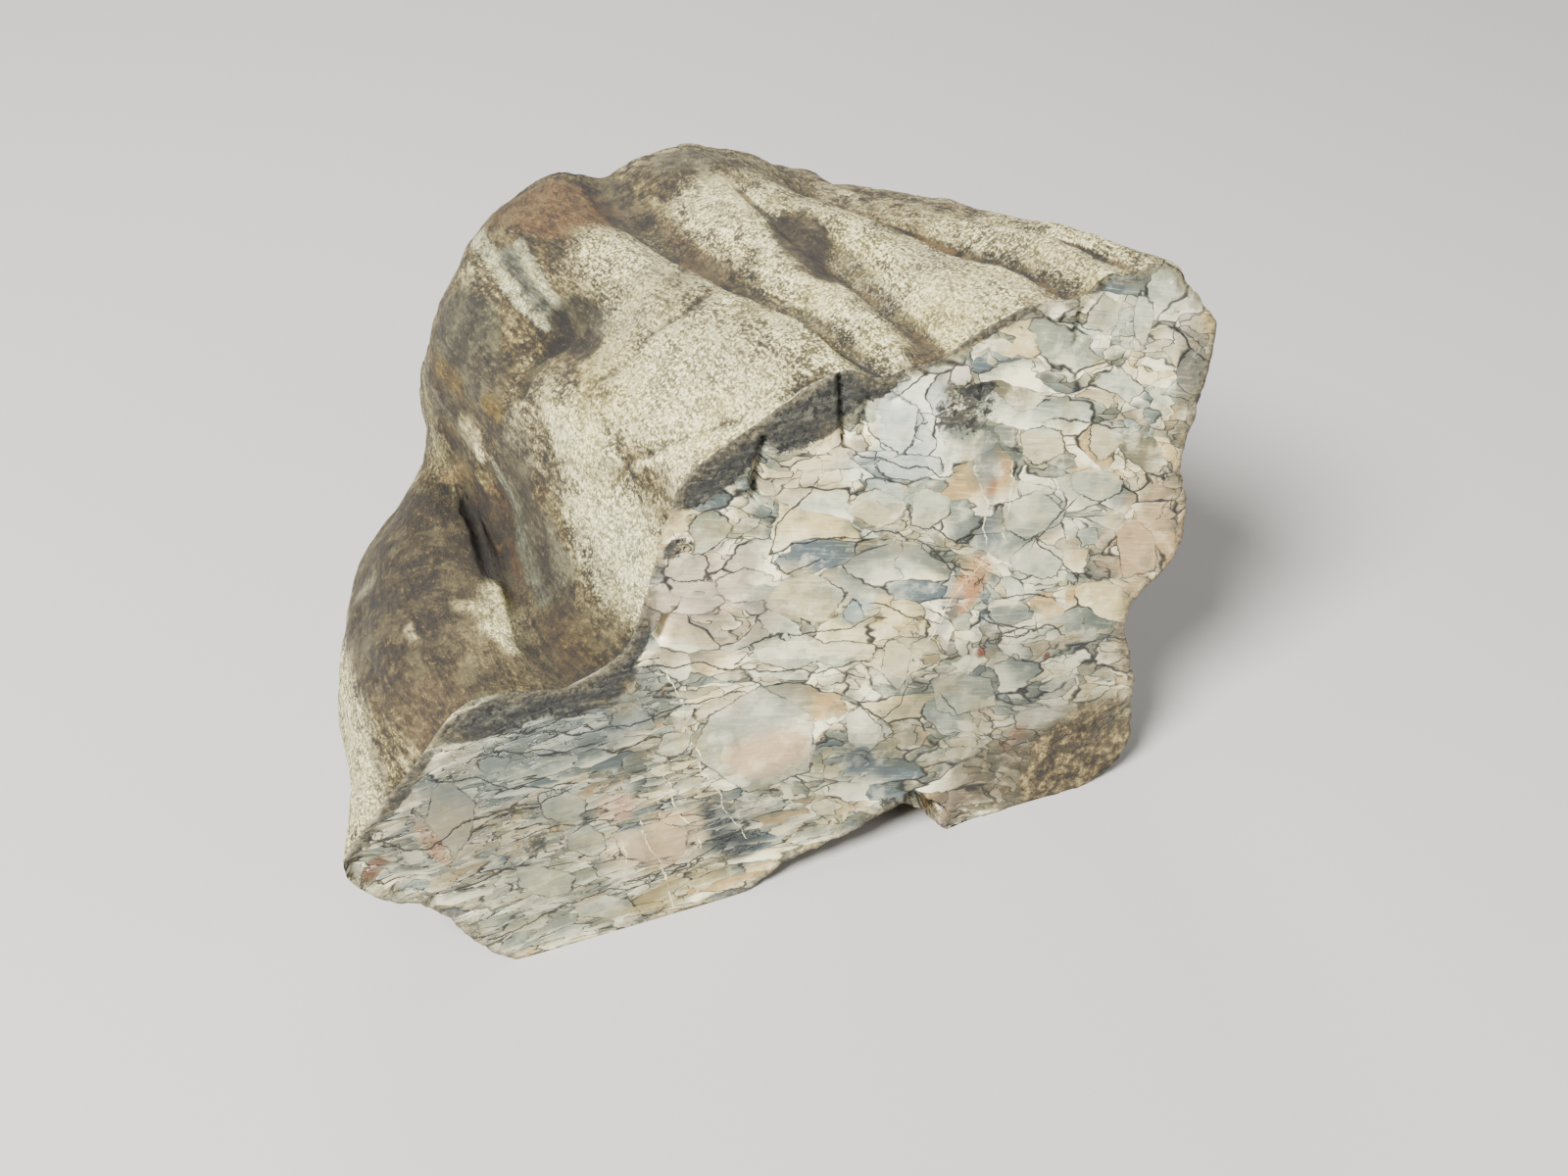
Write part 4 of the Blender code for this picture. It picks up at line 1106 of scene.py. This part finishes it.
def bent(tree, at, *turns):
    for pattern, amount in turns:
        middle = -amount / 2
        swing = addNode(tree, "ShaderNodeVectorMath", [pattern, (amount, amount, 0), (middle, middle, 0)],
                        operation="MULTIPLY_ADD")
        at = addNode(tree, "ShaderNodeVectorMath", [at, swing], operation="ADD")
    return at


def thinLine(tree, distance, width):
    # 1 on a line and 0 at its width
    ratio = addNode(tree, "ShaderNodeMath", [distance, width], operation="DIVIDE")
    ratio = addNode(tree, "ShaderNodeMath", [ratio], operation="ABSOLUTE")
    return addNode(tree, "ShaderNodeMath", [1.0, ratio], operation="SUBTRACT", use_clamp=True)


def makePolishedChalcedony():
    material, tree = startMaterial("polishedChalcedony", polish["roughness"], polish["ior"])
    flow = readAttributes(tree, ("slivers", "roundPieces"), "Vector")
    painted = readAttributes(tree, ("coarse", "crackSide", "crackNear", "veinSide", "veinNear", "smoke",
                                    "toRim", "corner", "shade", "outline"), "Fac")
    tint = addNode(tree, "ShaderNodeAttribute", None, None, attribute_name="cutTint")
    mm = inMillimetres(tree)
    coarse = roughened(tree, painted["coarse"],
                       (addNode(tree, "ShaderNodeTexNoise", {"Vector": mm, "Scale": 0.11}), 1.6))
    isCoarse = addNode(tree, "ShaderNodeMath", [coarse, 0.5], operation="GREATER_THAN")
    pieces = addNode(tree, "ShaderNodeMix", {0: isCoarse, 4: flow["slivers"], 5: flow["roundPieces"]}, 1,
                     data_type="VECTOR")
    made = makePatterns(tree, {"pieces": pieces, "mm": mm}, polishPatterns)
    cloud = {name: outputs[0] for name, outputs in made.items()}
    at = bent(tree, pieces, (made["bend"][1], 2.2), (made["jag"][1], 0.55))
    piece = makeMosaic(tree, at)
    finer = addNode(tree, "ShaderNodeVectorMath", [bent(tree, at, (made["fade"][1], 0.8)), (2.1, 2.3, 1)],
                    operation="MULTIPLY")
    chip = makeMosaic(tree, finer)
    # some pieces are crushed into smaller ones, and the large smooth pieces never are
    outline = roughened(tree, painted["outline"], (cloud["jitter"], 1.0), (cloud["mottle"], 1.2))
    inside = addNode(tree, "ShaderNodeMapRange", {0: outline, 1: 0.10, 2: -0.10})
    loose = addNode(tree, "ShaderNodeMath", [1.0, inside], operation="SUBTRACT")
    easily = addNode(tree, "ShaderNodeMath", [painted["shade"], 0.8, piece["luck"]],
                     operation="MULTIPLY_ADD")
    crushed = addNode(tree, "ShaderNodeMath", [roughened(tree, easily, (cloud["patch"], 1.6)), 0.50],
                      operation="GREATER_THAN")
    crushed = product(tree, crushed, loose)
    stops = evenStops(polish["pieceColours"], 0, 1 / len(polish["pieceColours"]))
    colour = addNode(tree, "ShaderNodeValToRGB", [piece["tone"]], stops=stops, blocky=True)
    chips = addNode(tree, "ShaderNodeValToRGB", [chip["tone"]], stops=stops, blocky=True)
    colour = addNode(tree, "ShaderNodeMix", {0: product(tree, crushed, 0.6), 6: colour, 7: chips}, 2,
                     data_type="RGBA")
    calm = product(tree, inside, 0.65)
    colour = addNode(tree, "ShaderNodeMix", {0: calm, 6: colour, 7: polish["smooth"]}, 2, data_type="RGBA")
    # listed colours fill whole pieces, and fade inside them
    taken = addNode(tree, "ShaderNodeMath", [piece["luck"], -0.45, tint["Alpha"]],
                    operation="MULTIPLY_ADD")
    slope = addNode(tree, "ShaderNodeMath", [product(tree, chip["slope"], crushed, 0.7), piece["slope"]],
                    operation="ADD")
    less = addNode(tree, "ShaderNodeMath", [inside, -0.7, 1.0], operation="MULTIPLY_ADD")
    slope = product(tree, slope, less)
    colour = paintOver(
        tree, colour,
        (taken, 0.0, 0.12, tint["Alpha"], tint["Color"]),
        (slope, 0.0, 0.30, 0.80, polish["milk"]),            # milky on one side of a piece
        (slope, 0.0, -0.30, 0.75, polish["shade"]),          # and dark on the other
        (cloud["mottle"], 0.50, 0.66, 0.42, polish["milk"]),
        (cloud["mottle"], 0.48, 0.34, 0.36, polish["shade"]),
        (cloud["patch"], 0.52, 0.66, 0.25, "#d9ccaa"),
        (cloud["streaky"], 0.54, 0.70, 0.34, "#727d7d"),
        (cloud["streaky"], 0.46, 0.34, 0.38, "#f1ead6"),
        # painted shade where the light falls off, from cutShade
        (painted["shade"], 0.0, 0.5, 0.46, "#565c5a"),
        (taken, 0.0, 0.12, product(tree, tint["Alpha"], 0.32), tint["Color"]),
    )
    # hairlines: heavy and light between pieces, finer where they are crushed
    heavy = addNode(tree, "ShaderNodeMapRange", {0: cloud["fade"], 1: 0.42, 2: 0.62, 3: 0.006, 4: 0.050})
    fine = addNode(tree, "ShaderNodeMapRange", {0: cloud["mottle"], 1: 0.40, 2: 0.60, 3: 0.048, 4: 0.008})
    strong = addNode(tree, "ShaderNodeMapRange", {0: cloud["fade"], 1: 0.44, 2: 0.58, 3: 0.14, 4: 1.0})
    heavyLine = product(tree, thinLine(tree, piece["edge"], heavy), loose, strong)
    fineLine = product(tree, thinLine(tree, chip["edge"], fine), crushed, 0.65)
    around = product(tree, thinLine(tree, outline, 0.15), strong, 0.8)
    crackAt = roughened(tree, painted["crackSide"], (cloud["jitter"], 0.7))
    crack = product(tree, thinLine(tree, crackAt, 0.16), painted["crackNear"], 0.9)
    lines = heavyLine
    for line in (fineLine, around, crack):
        lines = addNode(tree, "ShaderNodeMath", [lines, line], operation="MAXIMUM")
    lines = addNode(tree, "ShaderNodeMath", [lines, 0.60], operation="POWER")
    veinAt = roughened(tree, painted["veinSide"], (cloud["jitter"], 0.9))
    vein = product(tree, thinLine(tree, veinAt, 0.14), painted["veinNear"], strong)
    # smoky bands of old wood: grey-brown, streaked and granular
    smokeAt = roughened(tree, painted["smoke"], (cloud["grainy"], 1.1), (cloud["mottle"], 0.9))
    bandTone = roughened(tree, 0.5, (cloud["oldWood"], 0.55), (cloud["grainy"], 0.9))
    bandColour = addNode(tree, "ShaderNodeValToRGB", [bandTone], stops=[
        (0.36, "#2c2b29"), (0.46, "#4e4d49"), (0.55, "#66645e"), (0.66, "#8b8980")])
    specks = addNode(tree, "ShaderNodeMapRange", {0: painted["smoke"], 1: 0.15, 2: 0.55, 4: 0.9})
    rimAt = roughened(tree, painted["toRim"], (cloud["mottle"], 5.0))
    rimColour = addNode(tree, "ShaderNodeValToRGB", [cloud["grainy"]],
                        stops=[(0.4, "#575146"), (0.6, "#b8ad96")])
    cornerAt = roughened(tree, painted["corner"], (cloud["sandy"], 1.5), (cloud["patch"], 2.4))
    cornerColour = addNode(tree, "ShaderNodeValToRGB", [cloud["sandy"]], stops=[
        (0.40, "#4b4132"), (0.47, "#6f624c"), (0.53, "#8d8066"), (0.62, "#c3b799")])
    colour = paintOver(
        tree, colour,
        (lines, 0.0, 1.0, 0.88, polish["hairline"]),
        (vein, 0.0, 0.7, 0.9, polish["vein"]),
        (smokeAt, 0.36, 0.58, 0.95, bandColour),
        (cloud["jitter"], 0.56, 0.60, specks, "#0f0d0b"),    # black specks in the bands
        (rimAt, 1.9, 0.4, 0.55, rimColour),                  # the rim: chipped, stained and duller
        (cornerAt, 0.20, 0.95, 0.85, cornerColour),          # the weathered corner: matt, sandy
    )
    dull = roughened(tree, painted["smoke"], (cloud["grainy"], 0.5), (cloud["mottle"], 0.5))
    dull = addNode(tree, "ShaderNodeMath", [dull, painted["corner"]], operation="MAXIMUM")
    rough = addNode(tree, "ShaderNodeMapRange", {0: dull, 1: 0.1, 2: 0.7, 3: polish["roughness"], 4: 0.70})
    ridges = product(tree, cloud["grainy"], painted["smoke"])
    sand = product(tree, cloud["sandy"], painted["corner"], 4.0)
    height = addNode(tree, "ShaderNodeMath", [ridges, sand], operation="ADD")
    height = addNode(tree, "ShaderNodeMath", [height, lines], operation="SUBTRACT")
    finish(tree, polish, colour, rough, height)
    return material


# Weathered rind: matt stone with the old wood grain in it, under a pale chalky crust
weathered = {
    "roughness": 0.70,
    "ior": 1.53,
    "base": ["#4b4230", "#70664d", "#92876a", "#b8ac8a"],
    "crust": ["#6f6a54", "#a9a284", "#ddd5b6", "#fffbea"],
    "broken": ["#a9a59c", "#b8b0a4", "#9fa09c", "#b1a699", "#c3beb5"],
    # deep: dark brown of the seams, and the colour of the painted shade in the flutes and creases
    "deep": "#2b2419",
    "rust": "#76623f",
    "warmth": "#fdfbe2",
    "depth": 1.4,
    "vivid": 1.05,
    "bumpStrength": 0.9,
    "bumpDepth": 0.0005,         # metres
}

# Its patterns, same form as polishPatterns
rindPatterns = {
    "fibre": ("grain", (1.5, 0.30, 1.5), 5.0, 0.68),        # grain under 1 mm wide
    "band": ("grain", (0.22, 0.05, 0.22), 5.0, 0.62),       # bands about 5 mm wide
    "flake": ("grain", (1.6, 1.0, 1.6), 6.0, 0.84),         # flakes under 1 mm
    "salt": ("mm", (2.6, 2.6, 2.6), 3.0, 0.75),             # fine salt and pepper
    "blot": ("mm", (0.24, 0.24, 0.24), 7.0, 0.70),
    "patch": ("mm", (0.09, 0.09, 0.09), 4.0, 0.60),
    "bend": ("mm", (0.16, 0.16, 0.16), 3.0, 0.60),
}


def makeWeatheredRind():
    material, tree = startMaterial("weatheredRind", weathered["roughness"], weathered["ior"])
    grainAt = readAttributes(tree, ("grain",), "Vector")["grain"]
    painted = readAttributes(tree, ("standing", "crust", "seam", "broken"), "Fac")
    tint = addNode(tree, "ShaderNodeAttribute", None, None, attribute_name="rindTint")
    mm = inMillimetres(tree)
    made = makePatterns(tree, {"grain": grainAt, "mm": mm}, rindPatterns)
    cloud = {name: outputs[0] for name, outputs in made.items()}
    tone = roughened(tree, 0.5, (cloud["fibre"], 0.35), (cloud["flake"], 0.45), (cloud["blot"], 0.45),
                     (cloud["salt"], 0.25))
    colour = addNode(tree, "ShaderNodeValToRGB", [tone], stops=evenStops(weathered["base"], 0.38, 0.08))
    spread = roughened(tree, tint["Alpha"], (cloud["blot"], 1.3), (cloud["flake"], 0.8))
    grit = addNode(tree, "ShaderNodeValToRGB", [tone],
                   stops=[(0.36, "#585044"), (0.49, "#c4beb2"), (0.60, "#ffffff")])
    colour = paintOver(tree, colour, (spread, 0.2, 0.6, 0.85, tint["Color"]))
    colour = addNode(tree, "ShaderNodeMix", {0: 1.0, 6: colour, 7: grit}, 2, data_type="RGBA",
                     blend_type="MULTIPLY")
    colour = paintOver(tree, colour, (cloud["flake"], 0.55, 0.66, 0.40, "#bdaf8c"))
    # chalky crust: where it is painted and on what stands out, broken up by grain and flakes
    want = painted["crust"]
    for low, high, most in ((0.05, 0.9, 0.30), (-0.05, -0.8, -0.45)):
        part = addNode(tree, "ShaderNodeMapRange", {0: painted["standing"], 1: low, 2: high, 4: most},
                       interpolation_type="SMOOTHSTEP")
        want = addNode(tree, "ShaderNodeMath", [want, part], operation="ADD")
    want = roughened(tree, want, (cloud["flake"], 1.9), (cloud["salt"], 1.2), (cloud["fibre"], 1.0),
                     (cloud["blot"], 1.6), (cloud["band"], 1.2))
    chalk = roughened(tree, 0.5, (cloud["salt"], 1.1), (cloud["flake"], 0.9), (cloud["fibre"], 0.5),
                      (cloud["blot"], 0.6))
    chalkColour = addNode(tree, "ShaderNodeValToRGB", [chalk],
                          stops=evenStops(weathered["crust"], 0.40, 0.06))
    chalkColour = addNode(tree, "ShaderNodeMix", {0: product(tree, tint["Alpha"], 0.45), 6: chalkColour,
                                                  7: tint["Color"]}, 2, data_type="RGBA")
    mostCrust = addNode(tree, "ShaderNodeMapRange",
                        {0: painted["broken"], 1: 0.4, 2: 0.9, 3: 0.95, 4: 0.0})
    # how far each point sinks below its surroundings, used for the painted shade in the flutes and creases
    sunk = roughened(tree, painted["standing"], (cloud["flake"], 1.4), (cloud["band"], 1.0))
    seam = roughened(tree, painted["seam"], (cloud["flake"], 1.0), (cloud["band"], 1.4))
    seamColour = paintOver(tree, weathered["deep"], (cloud["blot"], 0.46, 0.56, 1.0, weathered["rust"]))
    colour = paintOver(
        tree, colour,
        (want, -0.2, 0.7, 0.30, "#a39b81"),                  # a thin veil where the crust thins out
        (want, -0.1, 1.15, mostCrust, chalkColour),
        (cloud["blot"], 0.51, 0.62, 0.42, "#7f7a65"),
        (cloud["patch"], 0.51, 0.63, product(tree, painted["crust"], 0.42), "#cfc492"),
        (cloud["salt"], 0.43, 0.36, 0.50, "#665f4b"),
        (cloud["salt"], 0.54, 0.60, product(tree, painted["crust"], 0.9), "#fffdf0"),
        (sunk, -0.25, -0.9, 0.45, weathered["deep"]),        # painted shade in the flutes and creases, darker where they sink deeper
        (seam, 0.45, 0.75, 0.78, seamColour),
    )
    # broken stone on the right side, back and underside: dull chalcedony, stained
    raw = addNode(tree, "ShaderNodeMapping", {"Vector": mm, "Scale": (0.15, 0.07, 0.26)})
    raw = makeMosaic(tree, bent(tree, raw, (made["bend"][1], 2.0)))
    rawStops = evenStops(weathered["broken"], 0, 1 / len(weathered["broken"]))
    rawColour = paintOver(
        tree, addNode(tree, "ShaderNodeValToRGB", [raw["tone"]], stops=rawStops, blocky=True),
        (raw["slope"], 0.0, 0.35, 0.5, "#d8d3c8"),
        (cloud["blot"], 0.47, 0.68, 0.62, "#7d7263"),
        (cloud["flake"], 0.50, 0.66, 0.50, "#57503f"),
        (raw["edge"], 0.035, 0.005, 0.5, "#3a342b"),
    )
    rawShare = roughened(tree, painted["broken"], (cloud["blot"], 1.4))
    colour = paintOver(tree, colour, (rawShare, 0.36, 0.60, 1.0, rawColour))
    gloss = addNode(tree, "ShaderNodeMapRange", {0: cloud["band"], 1: 0.46, 2: 0.64, 4: 0.24})
    rough = addNode(tree, "ShaderNodeMath", [weathered["roughness"] + 0.1, gloss], operation="SUBTRACT")
    height = roughened(tree, 0.0, (cloud["fibre"], 0.8), (cloud["flake"], 1.4), (cloud["salt"], 0.7))
    finish(tree, weathered, colour, rough, height)
    return material


polishedChalcedony = makePolishedChalcedony()
weatheredRind = makeWeatheredRind()
print("stage: finishes made")

rawStone = bpy.data.objects.new("rawStone", makeMesh())
bpy.context.scene.collection.objects.link(rawStone)
reliefTree = buildReliefTree([weatheredRind, polishedChalcedony])
modifier = rawStone.modifiers.new("relief", "NODES")
modifier.node_group = reliefTree
for item in reliefTree.interface.items_tree:
    if item.in_out == "INPUT" and item.name in reliefSizes:
        modifier[item.identifier] = reliefSizes[item.name]
graph = bpy.context.evaluated_depsgraph_get()
plain = bpy.data.meshes.new_from_object(rawStone.evaluated_get(graph), preserve_all_data_layers=True,
                                        depsgraph=graph)
rawStone.modifiers.remove(modifier)
bpy.data.objects.remove(rawStone)
plain.name = "petrified_stone_surface"
stoneSurface = bpy.data.objects.new("petrified_stone_surface", plain)
bpy.context.scene.collection.objects.link(stoneSurface)
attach(stoneSurface, "root")
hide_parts(chunkNode)
print("stage: stone surface", len(plain.vertices), "points", len(plain.polygons), "faces")

# Studio: pale floor, soft light from the upper left as in the photograph
studio = {
    "floorSize": 3.0,
    "floorColour": "#a3a09b",
    "keyPower": 46.0,
    "fillPower": 4.5,
    "backPower": 5.0,
    "worldColour": "#e4e6e8",
    "worldStrength": 0.26,
}


def makeFloor():
    half = studio["floorSize"] / 2
    mesh = bpy.data.meshes.new("floor")
    corners = [(-half, -half, 0), (half, -half, 0), (half, half, 0), (-half, half, 0)]
    mesh.from_pydata(corners, [], [(0, 1, 2, 3)])
    floor = bpy.data.objects.new("floor", mesh)
    bpy.context.scene.collection.objects.link(floor)
    material, tree = startMaterial("paleFloor", 0.85, 1.45)
    shader = tree.nodes["Principled BSDF"]
    shader.inputs["Base Color"].default_value = toLinear(studio["floorColour"]) + [1]
    mesh.materials.append(material)


def makeLight(name, size, power, place, target):
    data = bpy.data.lights.new(name, "AREA")
    data.shape = "DISK"
    data.size = size
    data.energy = power
    lamp = bpy.data.objects.new(name, data)
    lamp.location = place
    lamp.rotation_euler = (Vector(target) - Vector(place)).to_track_quat("-Z", "Y").to_euler()
    bpy.context.scene.collection.objects.link(lamp)


makeFloor()
makeLight("keyLight", 0.35, studio["keyPower"], (-0.55, -0.35, 0.75), (0, 0, 0.03))
makeLight("fillLight", 0.6, studio["fillPower"], (0.6, -0.7, 0.45), (0, 0, 0.04))
makeLight("backLight", 0.4, studio["backPower"], (0.1, 0.7, 0.6), (0, 0, 0.05))
world = bpy.data.worlds.new("studioAir")
world.use_nodes = True
world.node_tree.nodes["Background"].inputs[0].default_value = toLinear(studio["worldColour"]) + [1]
world.node_tree.nodes["Background"].inputs[1].default_value = studio["worldStrength"]
bpy.context.scene.world = world

# The photograph's view: 40 degrees down, from 20.5 degrees to the left of the cut
view = {
    "lens": 36.0,
    "sensor": 36.0,
    "azimuth": -20.5,
    "elevation": 40.0,
    "place": (-0.05232, -0.17751, 0.17192),
}
cameraData = bpy.data.cameras.new("camera")
cameraData.lens = view["lens"]
cameraData.sensor_width = view["sensor"]
cameraData.clip_start = 0.01
camera = bpy.data.objects.new("camera", cameraData)
camera.location = view["place"]
camera.rotation_euler = (math.radians(90 - view["elevation"]), 0, math.radians(view["azimuth"]))
bpy.context.scene.collection.objects.link(camera)
bpy.context.scene.camera = camera

print("stage: done")
